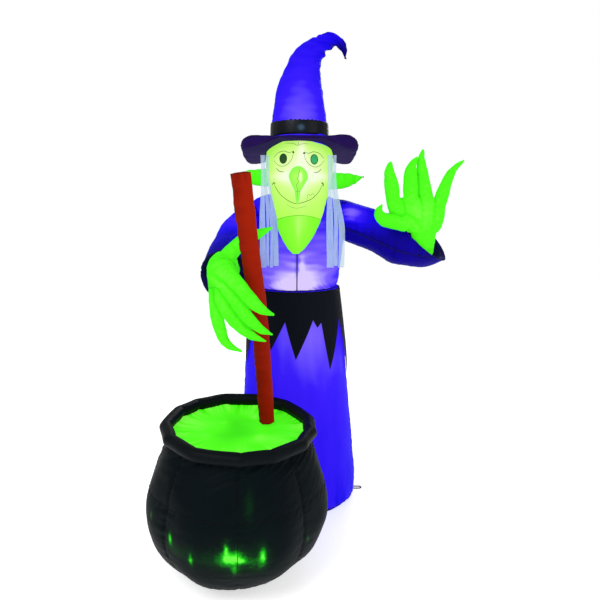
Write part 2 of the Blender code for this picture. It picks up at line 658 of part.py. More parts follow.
RIGHT_FINGERS = {
    "index": ([(-0.215, -0.505, 0.985), (-0.180, -0.540, 0.955), (-0.130, -0.560, 0.900), (-0.098, -0.560, 0.872),
               (-0.060, -0.548, 0.853)], [0.026, 0.025, 0.021, 0.015, 0.004]),
    "middle": ([(-0.225, -0.505, 0.950), (-0.190, -0.535, 0.915), (-0.145, -0.555, 0.850), (-0.105, -0.555, 0.812),
                (-0.066, -0.542, 0.790)], [0.026, 0.024, 0.020, 0.014, 0.004]),
    "ring": ([(-0.235, -0.500, 0.930), (-0.220, -0.520, 0.885), (-0.180, -0.545, 0.830), (-0.132, -0.548, 0.790),
              (-0.086, -0.538, 0.768)], [0.026, 0.023, 0.020, 0.014, 0.004]),
    "little": ([(-0.245, -0.495, 0.930), (-0.246, -0.500, 0.880), (-0.236, -0.510, 0.810), (-0.212, -0.515, 0.755),
                (-0.165, -0.510, 0.728)], [0.024, 0.022, 0.020, 0.014, 0.004]),
    "thumb": ([(-0.225, -0.445, 1.010), (-0.190, -0.425, 1.050), (-0.150, -0.430, 1.082), (-0.105, -0.440, 1.100),
               (-0.068, -0.448, 1.117)], [0.028, 0.025, 0.022, 0.014, 0.004]),
}


def make_hands(looks, skins):
    left = [finger(f"left_{n}", *shape) for n, shape in LEFT_FINGERS.items()]
    palm = [level_ring(1.090, 0.055, 0.030, 0.464, -0.190), level_ring(1.120, 0.078, 0.036, 0.455, -0.192),
            level_ring(1.160, 0.090, 0.036, 0.450, -0.194), level_ring(1.195, 0.092, 0.030, 0.444, -0.194),
            level_ring(1.215, 0.084, 0.018, 0.442, -0.194)]
    left.append(loft("left_palm", palm, 20))
    left.append(loft("left_wrist", rings_along([(0.480, -0.135, 1.015), (0.474, -0.165, 1.055), (0.466, -0.188, 1.110)],
                                               [0.036, 0.040, 0.048]), 16))
    cut(merged_hand("left_hand", left, looks["green"]), skins["left"])
    right = [finger(f"right_{n}", *shape) for n, shape in RIGHT_FINGERS.items()]
    back = rings_along([(-0.232, -0.285, 0.962), (-0.232, -0.380, 0.990), (-0.230, -0.440, 0.990),
                        (-0.228, -0.490, 0.965), (-0.232, -0.505, 0.925)], [0.040, 0.044, 0.048, 0.047, 0.036])
    right.append(loft("right_palm", back, 16))
    hand = merged_hand("right_hand", right, looks["green"])
    stick_skin = add_cutter("stick_skin", loft("stick_skin", rings_along(STICK_PATH, [r + 0.001 for r in STICK_RADII]),
                                               16))
    cut(hand, skins["right"], stick_skin)


STICK_PATH = [(-0.094, -0.450, 0.4710), (-0.100, -0.464, 0.620), (-0.109, -0.479, 0.770), (-0.118, -0.490, 0.890),
              (-0.131, -0.500, 0.990), (-0.145, -0.510, 1.120), (-0.161, -0.520, 1.284)]
STICK_RADII = [0.0270, 0.0275, 0.0285, 0.0295, 0.0300, 0.0310, 0.0320]


def make_stick(looks):
    add_part("stirring_stick", loft("stirring_stick", rings_along(STICK_PATH, STICK_RADII), 16), looks["stick"])


# ---------------------------------------------------------------- head and hat
HEAD_PROFILE = [  # height, centre Y, half width, half depth
    (1.150, -0.162, 0.086, 0.028), (1.190, -0.150, 0.097, 0.037), (1.238, -0.133, 0.109, 0.049),
    (1.256, -0.090, 0.114, 0.092), (1.300, -0.064, 0.125, 0.118), (1.350, -0.054, 0.130, 0.126),
    (1.390, -0.044, 0.122, 0.122), (1.4200, -0.036, 0.107, 0.110),
]
HAT_PATH = [  # centre X, Y, Z and radius, from the head to the tip
    (0.017, -0.030, 1.4205, 0.107), (0.016, -0.029, 1.495, 0.105), (0.0155, -0.027, 1.540, 0.0995),
    (0.0185, -0.024, 1.608, 0.0890), (0.028, -0.020, 1.670, 0.0730), (0.045, -0.015, 1.725, 0.0580),
    (0.078, -0.010, 1.768, 0.0430), (0.103, -0.005, 1.789, 0.0340), (0.132, 0.000, 1.799, 0.0300),
    (0.158, 0.000, 1.797, 0.0200), (0.174, 0.000, 1.783, 0.0185), (0.185, 0.000, 1.763, 0.0130),
    (0.190, 0.000, 1.733, 0.0030),
]


def head_rings(amount=0.0):
    rings = [level_ring(z, rx + amount, ry + amount, HEAD_X, y) for z, y, rx, ry in HEAD_PROFILE]
    rings[0][0].z -= amount
    rings[-1][0].z += amount
    return rings


def make_head(looks):
    head = add_part("head", loft("head", head_rings(), 20), looks["face"])
    solidify(head)
    cut(head, rod_cutter("neck_passage", (0, -0.010, 1.200), (0, -0.010, 1.275), 0.055),
        rod_cutter("crown_passage", (HEAD_X, HEAD_Y, 1.405), (HEAD_X, HEAD_Y, 1.430), 0.070))
    head_skin = add_cutter("head_skin", loft("head_skin", head_rings(GAP), 20))
    chin = [level_ring(z, rx, ry, x, y) for z, x, y, rx, ry in (
        (1.013, 0.002, -0.200, 0.010, 0.009), (1.030, 0.004, -0.198, 0.029, 0.018),
        (1.060, 0.006, -0.192, 0.050, 0.024), (1.090, 0.009, -0.185, 0.066, 0.027),
        (1.120, 0.012, -0.176, 0.078, 0.028), (1.1510, HEAD_X, -0.166, 0.085, 0.028))]
    cut(add_part("chin", loft("chin", chin, 20), looks["green"]), head_skin)
    nose_path = [(0.012, -0.160, 1.300), (0.012, -0.190, 1.285), (0.011, -0.212, 1.262), (0.010, -0.226, 1.238),
                 (0.009, -0.236, 1.212), (0.008, -0.240, 1.192)]
    nose = loft("nose", rings_along(nose_path, [0.026, 0.034, 0.031, 0.020, 0.009, 0.003]), 14)
    cut(add_part("nose", nose, looks["face"]), head_skin)
    for side, sign in (("left", 1), ("right", -1)):
        lift = 0.012 if side == "right" else 0.0
        path = [(HEAD_X + sign * 0.095, -0.035, 1.283 + lift), (HEAD_X + sign * 0.145, -0.030, 1.281 + lift),
                (HEAD_X + sign * 0.190, -0.025, 1.285 + lift), (HEAD_X + sign * 0.250, -0.020, 1.298 + lift)]
        ear = loft(f"{side}_ear", rings_along(path, [0.034, 0.034, 0.027, 0.003], side=(0, 0, 1), flatten=0.42), 14)
        cut(add_part(f"{side}_ear", ear, looks["green"]), head_skin)
    return head_skin


def lift_brim_front(mesh):
    """Thins the brim over the forehead and lifts it there, so that it stands up against the band."""
    for vertex in mesh.vertices:
        depth = min(max((-vertex.co.y - 0.030) / 0.080, 0.0), 1.0)
        front = depth * math.exp(-(vertex.co.x / 0.105) ** 4)
        vertex.co.z = vertex.co.z * (1 - 0.66 * front) + 0.020 * front


def make_hat(looks, head_skin):
    rings = rings_along([p[:3] for p in HAT_PATH], [p[3] for p in HAT_PATH], side=(0, -1, 0))
    foot_radius = HAT_PATH[0][3]
    rings[0] = (rings[0][0], Vector((0, -foot_radius, 0)), Vector((foot_radius, 0, 0)))
    add_part("hat_cone", loft("hat_cone", rings, 20), looks["robe"])
    centre, across, along = rings[0]
    below = (centre - Vector((0, 0, 0.010)), across, along)
    hat_skin = add_cutter("hat_skin", loft("hat_skin", grown([below, *rings[:5]], 0.0008), 20))
    band_inside, band_low, band_high = 0.090, (0.1110, 1.4430), (0.1095, 1.4920)
    band = turned("hat_band", [band_high, band_low, (band_inside, band_low[1]), (band_inside, band_high[1]), band_high],
                  looks["black"], 20)
    band.location = (0.0165, -0.0295, 0)
    band.rotation_euler = (0, 0, math.pi / 2)
    cut(band, hat_skin)
    rings = []
    for z, grow in ((-0.016, 0.86), (-0.012, 0.955), (0.0, 1.0), (0.011, 0.965), (0.014, 0.80)):
        rings.append(level_ring(z, BRIM_X * grow, BRIM_Y * grow))
    mesh = loft("hat_brim", rings, 28, square=1.9)
    lift_brim_front(mesh)
    brim = add_part("hat_brim", mesh, looks["brim"])
    brim.location = (HEAD_X, BRIM_MIDDLE, BRIM_Z)
    brim.rotation_euler = (-BRIM_TILT, 0, 0)
    cut(brim, head_skin, hat_skin)


HAIR = {  # x of the temple, then the hanging x and width of each ribbon
    "hair_right": (-0.108, [(-0.118, 0.022), (-0.101, 0.006), (-0.091, 0.007), (-0.072, 0.019)]),
    "hair_left": (0.133, [(0.128, 0.026), (0.150, 0.012), (0.171, 0.022)]),
}


def ribbon_outline(temple, ribbons):
    """A gathered head with its ribbons hanging from it, as one outline seen from the front."""
    spare = 0.0012
    gathered = [width * 0.50 for _, width in ribbons]
    left = temple - (sum(gathered) + spare * (len(ribbons) - 1)) / 2
    outline = []
    for k, ((x, width), narrow) in enumerate(zip(ribbons, gathered)):
        half, right = width / 2, left + narrow
        foot = 0.962 + 0.006 * (k % 2)
        outline += [(left, 1.345), (left, 1.235), (x - half, 1.090), (x - half, foot)]
        outline += [(x + half, foot), (x + half, 1.090), (right, 1.235), (right, 1.345)]
        left = right + spare
    first, last = outline[0][0], outline[-1][0]
    return [*outline, (last, 1.368), (first, 1.368)]


def make_hair(looks):
    """One flat bunch of ribbons hangs from each temple, in front of the shoulder."""
    for name, (temple, ribbons) in HAIR.items():
        hair = plate(name, [ribbon_outline(temple, ribbons)], 0.0016, looks["hair"])
        hair.location = (0, -0.2540, 0)
        hair.rotation_euler = (math.radians(86.0), 0, 0)


# ---------------------------------------------------------------- assembly
def main():
    looks = make_materials()
    cauldron = make_cauldron(looks)
    make_cauldron_bulbs(looks)
    skirt = make_skirt(looks)
    make_duct(looks, skirt, cauldron)
    make_sash(looks)
    make_zip(looks)
    make_stake_loops(looks)
    make_blower(looks)
    make_mast(looks)
    make_drive(looks)
    make_lamps(looks)
    skins = make_torso_and_sleeves(looks)
    make_hands(looks, skins)
    make_stick(looks)
    head_skin = make_head(looks)
    make_hat(looks, head_skin)
    make_hair(looks)


clear_scene()
PARTS = new_collection("inflatable_witch")
CUTTERS = new_collection("cutters")
main()
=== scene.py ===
"""Looks of the lit, air-blown witch and its cauldron: sewn fabric, seams, glow, camera and light."""
import math
from contextlib import contextmanager

import bmesh
import bpy
import numpy as np
from mathutils import Matrix, Vector, noise
from mathutils.bvhtree import BVHTree


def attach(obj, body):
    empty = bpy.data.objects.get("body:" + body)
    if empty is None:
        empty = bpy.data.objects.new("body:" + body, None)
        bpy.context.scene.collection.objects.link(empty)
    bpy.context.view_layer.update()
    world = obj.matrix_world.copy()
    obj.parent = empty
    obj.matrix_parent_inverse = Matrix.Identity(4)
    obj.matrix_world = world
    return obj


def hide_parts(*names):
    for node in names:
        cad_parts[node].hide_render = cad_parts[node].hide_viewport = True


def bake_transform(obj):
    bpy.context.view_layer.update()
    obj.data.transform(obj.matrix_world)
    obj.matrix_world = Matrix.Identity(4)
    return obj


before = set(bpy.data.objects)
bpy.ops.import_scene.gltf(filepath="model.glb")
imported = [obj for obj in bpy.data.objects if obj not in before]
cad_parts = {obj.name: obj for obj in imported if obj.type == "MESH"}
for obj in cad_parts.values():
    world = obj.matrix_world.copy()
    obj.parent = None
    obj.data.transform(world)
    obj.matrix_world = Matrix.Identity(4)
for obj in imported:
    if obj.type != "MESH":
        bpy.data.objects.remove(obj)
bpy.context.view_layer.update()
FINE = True


# ---------------------------------------------------------------- numbers and curves
def ripple(points, seed):
    """Smooth noise from -1 to 1 at each of the points, as an array of the same leading shape."""
    flat = points.reshape(-1, points.shape[-1])
    values = [noise.noise((p[0] + seed, p[1] - seed, p[2] + 0.37 * seed)) for p in flat]
    return np.array(values).reshape(points.shape[:-1])


def ripple_at(x, y, z, seed):
    """Smooth noise over coordinates that broadcast together."""
    return ripple(np.stack(np.broadcast_arrays(x, y, z), axis=-1), seed)


def creases(along, away, seed, pitch=0.014, reach=0.028, depth=0.002):
    """Short creases that run square to a seam and die out away from it.  along and away are metres."""
    away = np.abs(away)
    folds = 1.6 * ripple_at(along / pitch, away / (7 * pitch), 0.0, seed) - 0.55
    return depth * np.exp(-away / reach) * folds


def lumps(points, size, depth, seed):
    """The slow unevenness of cloth blown tight over cut panels."""
    return depth * ripple(points / size, seed)


def smooth_values(points, steps):
    """Points on a Catmull-Rom curve through the given ones, as an array with a row for each."""
    rows = np.array(points, dtype=float)
    rows = np.vstack([2 * rows[0] - rows[1], rows, 2 * rows[-1] - rows[-2]])
    found = []
    for a, b, c, d in zip(rows, rows[1:], rows[2:], rows[3:]):
        for t in np.arange(steps) / steps:
            found.append(0.5 * (2 * b + (c - a) * t + (2 * a - 5 * b + 4 * c - d) * t**2
                                + (3 * b - a - 3 * c + d) * t**3))
    return np.array([*found, rows[-2]])


def columns_at(table, heights):
    """The other columns of a table, at each height in its first column."""
    first, *others = np.array(table, dtype=float).T
    return [np.interp(heights, first, column) for column in others]


def turn_gap(angles, seam):
    """The signed angle from a seam to each angle, from -pi to pi."""
    return (angles - seam + math.pi) % (2 * math.pi) - math.pi


# ---------------------------------------------------------------- meshes
@contextmanager
def editing(mesh):
    """A mesh opened for edits, and written back after them."""
    build = bmesh.new()
    build.from_mesh(mesh)
    yield build
    build.to_mesh(mesh)
    build.free()


def show(name, mesh, body, look):
    """Puts a mesh in the scene.  A body of None leaves it attached to no body."""
    obj = bpy.data.objects.new(name, mesh)
    mesh.materials.append(LOOKS[look])
    bpy.context.scene.collection.objects.link(obj)
    if body is not None:
        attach(obj, body)
    return obj


def airtight(name, mesh, body, look, node=None):
    """A closed, air-filled piece, which replaces the CAD node named."""
    piece = show(name, mesh, body, look)
    if node is not None:
        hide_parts(node)
    return piece


def grid_mesh(name, points, cap_start=False, cap_end=False):
    """A closed tube of rows of points, with UVs in metres.  points is rows x around x 3."""
    rows, around = points.shape[:2]
    vertices = [tuple(p) for p in points.reshape(-1, 3)]
    faces = []
    for j in range(rows - 1):
        for i in range(around):
            n = (i + 1) % around
            faces.append((j * around + i, j * around + n, (j + 1) * around + n, (j + 1) * around + i))
    if cap_start:
        faces.append(tuple(reversed(range(around))))
    if cap_end:
        faces.append(tuple(range((rows - 1) * around, rows * around)))
    mesh = bpy.data.meshes.new(name)
    mesh.from_pydata(vertices, [], faces)
    step_round = np.linalg.norm(np.diff(points, axis=1, append=points[:, :1]), axis=2).mean()
    climb = np.linalg.norm(np.diff(points, axis=0), axis=2).mean(axis=1)
    height = np.concatenate([[0.0], np.cumsum(climb)])
    layer = mesh.uv_layers.new(name="metres")
    uvs = []
    for j in range(rows - 1):
        for i in range(around):
            left, right = i * step_round, (i + 1) * step_round
            uvs += [left, height[j], right, height[j], right, height[j + 1], left, height[j + 1]]
    for row in ([0] if cap_start else []) + ([rows - 1] if cap_end else []):
        for i in range(around):
            uvs += [i * step_round, height[row]]
    layer.data.foreach_set("uv", uvs)
    mesh.shade_smooth()
    return mesh


FOLD_HEIGHT = 0.0022


def mark_folds(mesh, depth):
    """Keeps how far each point stands proud of its neighbourhood, for cloth that shades along its folds."""
    layer = mesh.attributes.new("fold", "FLOAT", "POINT")
    proud = np.clip(0.5 + depth.ravel() / (2 * FOLD_HEIGHT), 0, 1)
    layer.data.foreach_set("value", proud.astype(np.float32))


def grid_normals(points):
    """Outward normals of a tube of rows of points."""
    round_it = np.roll(points, -1, axis=1) - np.roll(points, 1, axis=1)
    up_it = np.gradient(points, axis=0)
    normals = np.cross(round_it, up_it)
    return normals / np.maximum(np.linalg.norm(normals, axis=2, keepdims=True), 1e-9)


def raised(points, height):
    """A tube of rows of points, each moved outwards by its height."""
    return points + grid_normals(points) * height[:, :, None]


def row_line(points, row, lift):
    """Every other point of one of a tube's rows, lifted off it."""
    return (points[row] + grid_normals(points)[row] * lift)[::2]


def turns_of(count):
    """Angles spread evenly over a full turn."""
    return np.arange(count) * 2 * math.pi / count


def tube_points(rings, around, square=1.0):
    """Rows of points on rings of (centre, across, along), each row an array of nine numbers."""
    angles = turns_of(around)
    x, y = np.cos(angles), np.sin(angles)
    fill = (np.abs(x) ** (2 * square) + np.abs(y) ** (2 * square)) ** (-0.5 / square)
    x, y = (x * fill)[None, :, None], (y * fill)[None, :, None]
    centre, across, along = rings[:, None, 0:3], rings[:, None, 3:6], rings[:, None, 6:9]
    return centre + across * x + along * y, angles


def path_rings(points, radii, side=(1, 0, 0), flatten=1.0):
    """Rings square to a path, as rows of nine numbers."""
    points = np.array(points, dtype=float)
    ahead = np.gradient(points, axis=0)
    ahead /= np.linalg.norm(ahead, axis=1, keepdims=True)
    side = np.array(side, dtype=float)
    across = side - ahead * (ahead @ side)[:, None]
    across /= np.linalg.norm(across, axis=1, keepdims=True)
    up = np.cross(ahead, across)
    radii = np.array(radii, dtype=float)[:, None]
    return np.hstack([points, across * radii, up * radii * flatten])


def level_rings(table):
    """Rows of (x, y, z, half width, half depth) as level rings."""
    x, y, z, wide, deep = np.array(table, dtype=float).T
    zero = np.zeros_like(z)
    return np.stack([x, y, z, wide, zero, zero, zero, deep, zero], axis=1)


def arc_lengths(points):
    """The girth of each row, and each point's length up from the first row."""
    round_it = np.linalg.norm(np.diff(points, axis=1, append=points[:, :1]), axis=2)
    girth = round_it.sum(axis=1, keepdims=True)
    climb = np.linalg.norm(np.diff(points, axis=0, prepend=points[:1]), axis=2)
    return girth, np.cumsum(climb, axis=0)


def seam_creases(points, angles, seams, **how):
    """Creases along seams that run lengthwise, at the given angles."""
    girth, height = arc_lengths(points)
    total = np.zeros(points.shape[:2])
    for k, seam in enumerate(seams):
        away = turn_gap(angles, seam)[None, :] * girth / (2 * math.pi)
        total += creases(height, away, seed=3.1 * k + 1.7, **how)
        total -= 0.0022 * np.exp(-((away / 0.0055) ** 2))
    return total


def end_creases(points, row, **how):
    """Creases beside a seam that runs round a tube at one of its rows."""
    girth, height = arc_lengths(points)
    share = np.arange(points.shape[1]) / points.shape[1]
    around = share[None, :] * girth
    return creases(around, height - height[row][None, :], **how)


def strip_mesh(name, line, normals, width, thick):
    """A flat tape along a line, lying square to the normals, closed all round."""
    line, normals = np.array(line, dtype=float), np.array(normals, dtype=float)
    ahead = np.gradient(line, axis=0)
    ahead /= np.maximum(np.linalg.norm(ahead, axis=1, keepdims=True), 1e-9)
    across = np.cross(normals, ahead)
    across /= np.maximum(np.linalg.norm(across, axis=1, keepdims=True), 1e-9)
    width = np.broadcast_to(np.array(width, dtype=float), (len(line),))[:, None]
    corners = [line + across * width * sx / 2 + normals * thick * sn / 2
               for sx, sn in ((-1, -1), (1, -1), (1, 1), (-1, 1))]
    points = np.stack(corners, axis=1)
    return grid_mesh(name, points, cap_start=True, cap_end=True)


def bead(name, line, radius, body, look, closed=False):
    """A thin round bead, for piping and folded seam allowances."""
    curve = bpy.data.curves.new(name, "CURVE")
    curve.dimensions = "3D"
    curve.bevel_depth = radius
    curve.bevel_resolution = 1
    curve.use_fill_caps = True
    spline = curve.splines.new("POLY")
    spline.use_cyclic_u = closed
    spline.points.add(len(line) - 1)
    for target, point in zip(spline.points, line):
        target.co = (*point, 1.0)
    curve.materials.append(LOOKS[look])
    obj = bpy.data.objects.new(name, curve)
    bpy.context.scene.collection.objects.link(obj)
    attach(obj, body)


def surface_tree(mesh):
    return BVHTree.FromPolygons([v.co for v in mesh.vertices], [tuple(p.vertices) for p in mesh.polygons])


def on_front(tree, x, z, lift):
    """The point of a surface straight behind (x, z) as seen from -Y, and its normal, facing -Y."""
    place, normal, _, _ = tree.ray_cast(Vector((x, -2.0, z)), Vector((0, 1, 0)))
    if normal.y > 0:
        normal = -normal
    return place + normal * lift, normal


# ---------------------------------------------------------------- materials
WEAVE_PITCH, WEAVE_HEIGHT = 0.0016, 0.00012


class Look:
    """One Principled material and the nodes that feed it."""

    def __init__(self, name, roughness=0.6, specular=0.3):
        self.material = bpy.data.materials.new(name)
        self.material.use_nodes = True
        self.nodes = self.material.node_tree.nodes
        self.links = self.material.node_tree.links
        self.shader = self.nodes["Principled BSDF"]
        self.set("Roughness", roughness)
        self.set("Specular IOR Level", specular)

    def feed(self, socket, value):
        if isinstance(value, bpy.types.NodeSocket):
            self.links.new(value, socket)
        else:
            socket.default_value = value

    def set(self, socket, value):
        self.feed(self.shader.inputs[socket], value)

    def node(self, kind, **inputs):
        """A node with its named inputs set to values or fed by other sockets."""
        made = self.nodes.new(kind)
        for key, value in inputs.items():
            self.feed(made.inputs[key], value)
        return made

    def worked_out(self, kind, operation, *values):
        """The outputs of a node that does arithmetic."""
        made = self.nodes.new(kind)
        made.operation = operation
        for socket, value in zip(made.inputs, values):
            self.feed(socket, value)
        return made.outputs

    def math(self, operation, first, second):
        return self.worked_out("ShaderNodeMath", operation, first, second)[0]

    def vector_math(self, operation, *values):
        return self.worked_out("ShaderNodeVectorMath", operation, *values)

    def place(self, kind="Object"):
        return self.node("ShaderNodeTexCoord").outputs[kind]

    def noise(self, scale, detail=3.0, where=None, distortion=0.0):
        made = self.node("ShaderNodeTexNoise", Scale=scale, Detail=detail, Distortion=distortion)
        self.links.new(where or self.place(), made.inputs["Vector"])
        return made.outputs["Fac"]

    def grain(self, scale, detail, stretch):
        """Noise with its coordinates stretched, for streaks."""
        where = self.node("ShaderNodeMapping", Vector=self.place(), Scale=stretch).outputs[0]
        return self.noise(scale, detail, where)

    def bands(self, direction, scale, where=None):
        """Regular bands, from 0 to 1."""
        made = self.node("ShaderNodeTexWave", Scale=scale, Vector=where or self.place())
        made.bands_direction = direction
        return made.outputs["Fac"]

    def near(self, centre, reach, stretch):
        """1 at a point, falling to a third at its reach, in object space."""
        away = self.vector_math("SUBTRACT", self.place(), centre)[0]
        scaled = self.vector_math("MULTIPLY", away, stretch)[0]
        share = self.math("DIVIDE", self.vector_math("LENGTH", scaled)["Value"], reach)
        fall = self.math("MULTIPLY", self.math("POWER", share, 2.0), 2.0)
        return self.math("DIVIDE", 1.0, self.math("ADD", 1.0, fall))

    def facing(self, direction):
        """How squarely the cloth faces a direction fixed to the object, times the direction's length."""
        return self.vector_math("DOT_PRODUCT", self.place("Normal"), direction)["Value"]

    def ramp(self, value, stops):
        made = self.nodes.new("ShaderNodeValToRGB")
        elements = made.color_ramp.elements
        while len(elements) < len(stops):
            elements.new(0.5)
        for element, (place, colour) in zip(elements, stops):
            element.position = place
            element.color = (*colour, 1.0)
        self.feed(made.inputs["Fac"], value)
        return made.outputs["Color"]

    def tint(self, factor, first, second, mode="MIX"):
        made = self.nodes.new("ShaderNodeMix")
        made.data_type = "RGBA"
        made.blend_type = mode
        self.feed(made.inputs[0], factor)
        for socket, value in ((made.inputs[6], first), (made.inputs[7], second)):
            self.feed(socket, value if isinstance(value, bpy.types.NodeSocket) else (*value, 1.0))
        return made.outputs[2]

    def bump(self, height, distance, below=None):
        made = self.node("ShaderNodeBump", Height=height, Distance=distance)
        if below is not None:
            self.links.new(below, made.inputs["Normal"])
        return made.outputs["Normal"]

    def weave(self, on_uv):
        """The over and under of a plain weave, from 0 to 1."""
        where = self.node("ShaderNodeUVMap").outputs["UV"] if on_uv else self.place()
        warp = self.bands("X", 0.1 / WEAVE_PITCH, where)
        weft = self.bands("Y" if on_uv else "Z", 0.1 / WEAVE_PITCH, where)
        return self.math("MULTIPLY", warp, weft)


def cloth(name, base, roughness=0.6, specular=0.25, on_uv=True, mottle=0.12):
    """Woven polyester: fine weave, faint slubs, and slightly uneven dye."""
    look = Look(name, roughness, specular)
    look.threads = look.weave(on_uv)
    dark = tuple(c * (1 - mottle) for c in base)
    light = tuple(min(1.0, c * (1 + mottle)) for c in base)
    look.set("Base Color", look.tint(look.noise(9.0), dark, light))
    fine = look.bump(look.threads, WEAVE_HEIGHT)
    slubs = look.bump(look.noise(420.0, 2.0), 0.8 * WEAVE_HEIGHT, fine)
    look.set("Normal", look.bump(look.noise(38.0), 0.0009, slubs))
    return look


def plain_cloth(name, base, **how):
    return cloth(name, base, **how).material


def add_lights(look, total, lights):
    """Adds light from several lamps: each is a centre, a reach, a weight, a stretch and a sharpness."""
    for centre, reach, weight, stretch, *sharp in lights:
        near = look.near(centre, reach, stretch)
        if sharp:
            near = look.math("POWER", near, sharp[0])
        total = look.math("ADD", total, look.math("MULTIPLY", near, weight))
    return total


def glowing(name, base, stops, lights, floor, rough=0.06, toward=(0.0, 0.0, 0.0), strength=1.0, folds=0.30,
            specular=0.03, **how):
    """Cloth lit from inside: the glow picks a colour from the stops, shaded a little by folds and threads.

    toward brightens the cloth that faces it and leaves the sides turned away darker, by its length: painted
    light and shade that round the shape.  rough is how uneven the glow is.
    """
    look = cloth(name, base, specular=specular, **how)
    glow = add_lights(look, look.math("ADD", floor, look.facing(toward)), lights)
    uneven = look.math("MULTIPLY", look.math("SUBTRACT", look.noise(11.0), 0.5), rough)
    glow = look.math("ADD", glow, uneven)
    # Painted shade in the hollows of the folds and painted light on their ridges, read from the fold
    # attribute.
    fold = look.nodes.new("ShaderNodeAttribute")
    fold.attribute_name = "fold"
    proud = look.math("SUBTRACT", fold.outputs["Fac"], 0.5)
    glow = look.math("ADD", glow, look.math("MULTIPLY", proud, folds))
    thread = look.ramp(look.threads, [(0.0, (0.25, 0.25, 0.25)), (0.7, (1.0, 1.0, 1.0))])
    look.set("Emission Color", look.tint(0.10, look.ramp(glow, stops), thread, "MULTIPLY"))
    look.set("Emission Strength", strength)
    return look.material


# ---------------------------------------------------------------- the glow of each chamber
ROUND = (1, 1, 1)
ROBE_STOPS = [
    (0.00, (0.001, 0.000, 0.020)), (0.16, (0.001, 0.000, 0.160)), (0.34, (0.006, 0.000, 0.740)),
    (0.55, (0.043, 0.012, 0.930)), (0.78, (0.240, 0.145, 0.960)), (1.00, (0.780, 0.660, 0.980)),
]
ROBE_LIGHTS = {  # how bright each chamber is away from its lamps, and the light from each lamp
    "skirt_cloth": (0.328, [
        ((0.060, -0.190, 0.715), 0.150, 0.30, (1.0, 1.0, 0.60)),
        ((0.230, -0.060, 0.500), 0.150, 0.16, (1.0, 1.0, 0.40)),
        ((-0.120, -0.170, 0.800), 0.100, 0.16, (1.0, 1.0, 0.6)),
    ]),
    "torso_cloth": (0.30, [
        ((0.010, -0.172, 0.893), 0.076, 0.66, (0.46, 1.0, 1.0)),
        ((0.020, -0.165, 0.990), 0.150, 0.24, (0.8, 1.0, 0.7)),
        ((0.026, -0.172, 0.935), 0.013, 0.42, (1.0, 0.15, 0.16), 2.0),
        ((0.150, -0.090, 1.000), 0.100, 0.16, (1.0, 1.0, 0.5)),
        ((-0.150, -0.100, 1.000), 0.100, 0.10, (1.0, 1.0, 0.5)),
    ]),
    "hat_cloth": (0.355, [
        ((0.014, -0.135, 1.505), 0.085, 0.26, (0.70, 1.0, 0.80)),
        ((0.030, -0.120, 1.620), 0.110, 0.08, ROUND),
        # A negative weight: painted shade on the hooked tip of the hat.
        ((0.190, 0.000, 1.755), 0.048, -0.46, ROUND),
    ]),
    "left_sleeve_cloth": (0.045, [
        ((0.210, -0.085, 1.160), 0.062, 0.66, (0.8, 1.0, 1.2)),
        ((0.300, -0.120, 1.140), 0.070, 0.09, (0.6, 1.0, 1.4)),
    ]),
    "right_sleeve_cloth": (0.06, [
        ((-0.215, -0.140, 1.110), 0.105, 0.56, ROUND), ((-0.250, -0.260, 1.040), 0.050, 0.12, ROUND),
    ]),
}
GREEN_STOPS = [
    (0.00, (0.020, 0.250, 0.004)), (0.35, (0.045, 0.700, 0.006)), (0.70, (0.085, 0.960, 0.012)),
    (1.00, (0.200, 0.980, 0.060)),
]
GREEN_LIGHTS = {
    "ear_cloth": (0.42, [((0.016, -0.030, 1.285), 0.160, 0.30, ROUND)]),
    "hand_cloth": (0.36, [((0.448, -0.225, 1.155), 0.052, 0.34, ROUND)]),
    "right_hand_cloth": (0.38, [((-0.235, -0.540, 0.960), 0.080, 0.20, ROUND)]),
}
FACE_STOPS = [
    (0.00, (0.180, 0.900, 0.014)), (0.28, (0.400, 0.980, 0.080)), (0.50, (0.600, 0.990, 0.230)),
    (0.76, (0.850, 0.970, 0.560)), (1.00, (0.930, 0.990, 0.840)),
]
FACE_LIGHTS = [  # the lamp behind the face shows as a bright upright band and a level one
    ((0.022, -0.180, 1.305), 0.120, 0.65, (1.0, 0.5, 1.0)),
    ((0.024, -0.180, 1.330), 0.020, 1.00, (1.0, 0.10, 0.17), 2.0),
    ((0.022, -0.180, 1.289), 0.025, 1.20, (0.20, 0.10, 1.0), 2.0),
    ((-0.065, -0.150, 1.345), 0.045, 0.15, ROUND), ((0.100, -0.150, 1.345), 0.045, 0.15, ROUND),
]
CHIN_STOPS = [(0.0, (0.150, 0.880, 0.016)), (0.3, (0.290, 0.955, 0.042)), (1.0, (0.640, 0.990, 0.240))]
CHIN_LIGHTS = [
    ((0.018, -0.205, 1.150), 0.050, 0.55, (1.2, 1.0, 0.5)),
    ((0.012, -0.205, 1.100), 0.012, 0.34, (1.0, 0.0, 0.15), 2.0),
]
NOSE_STOPS = [
    (0.00, (0.150, 0.800, 0.100)), (0.35, (0.300, 0.930, 0.080)), (0.80, (0.520, 0.985, 0.150)),
    (1.00, (0.850, 0.980, 0.600)),
]
NOSE_LIGHTS = [
    ((0.010, -0.240, 1.285), 0.034, 0.62, ROUND),
    ((0.021, -0.240, 1.284), 0.009, 0.80, (1.0, 0.0, 0.25), 2.0),
]
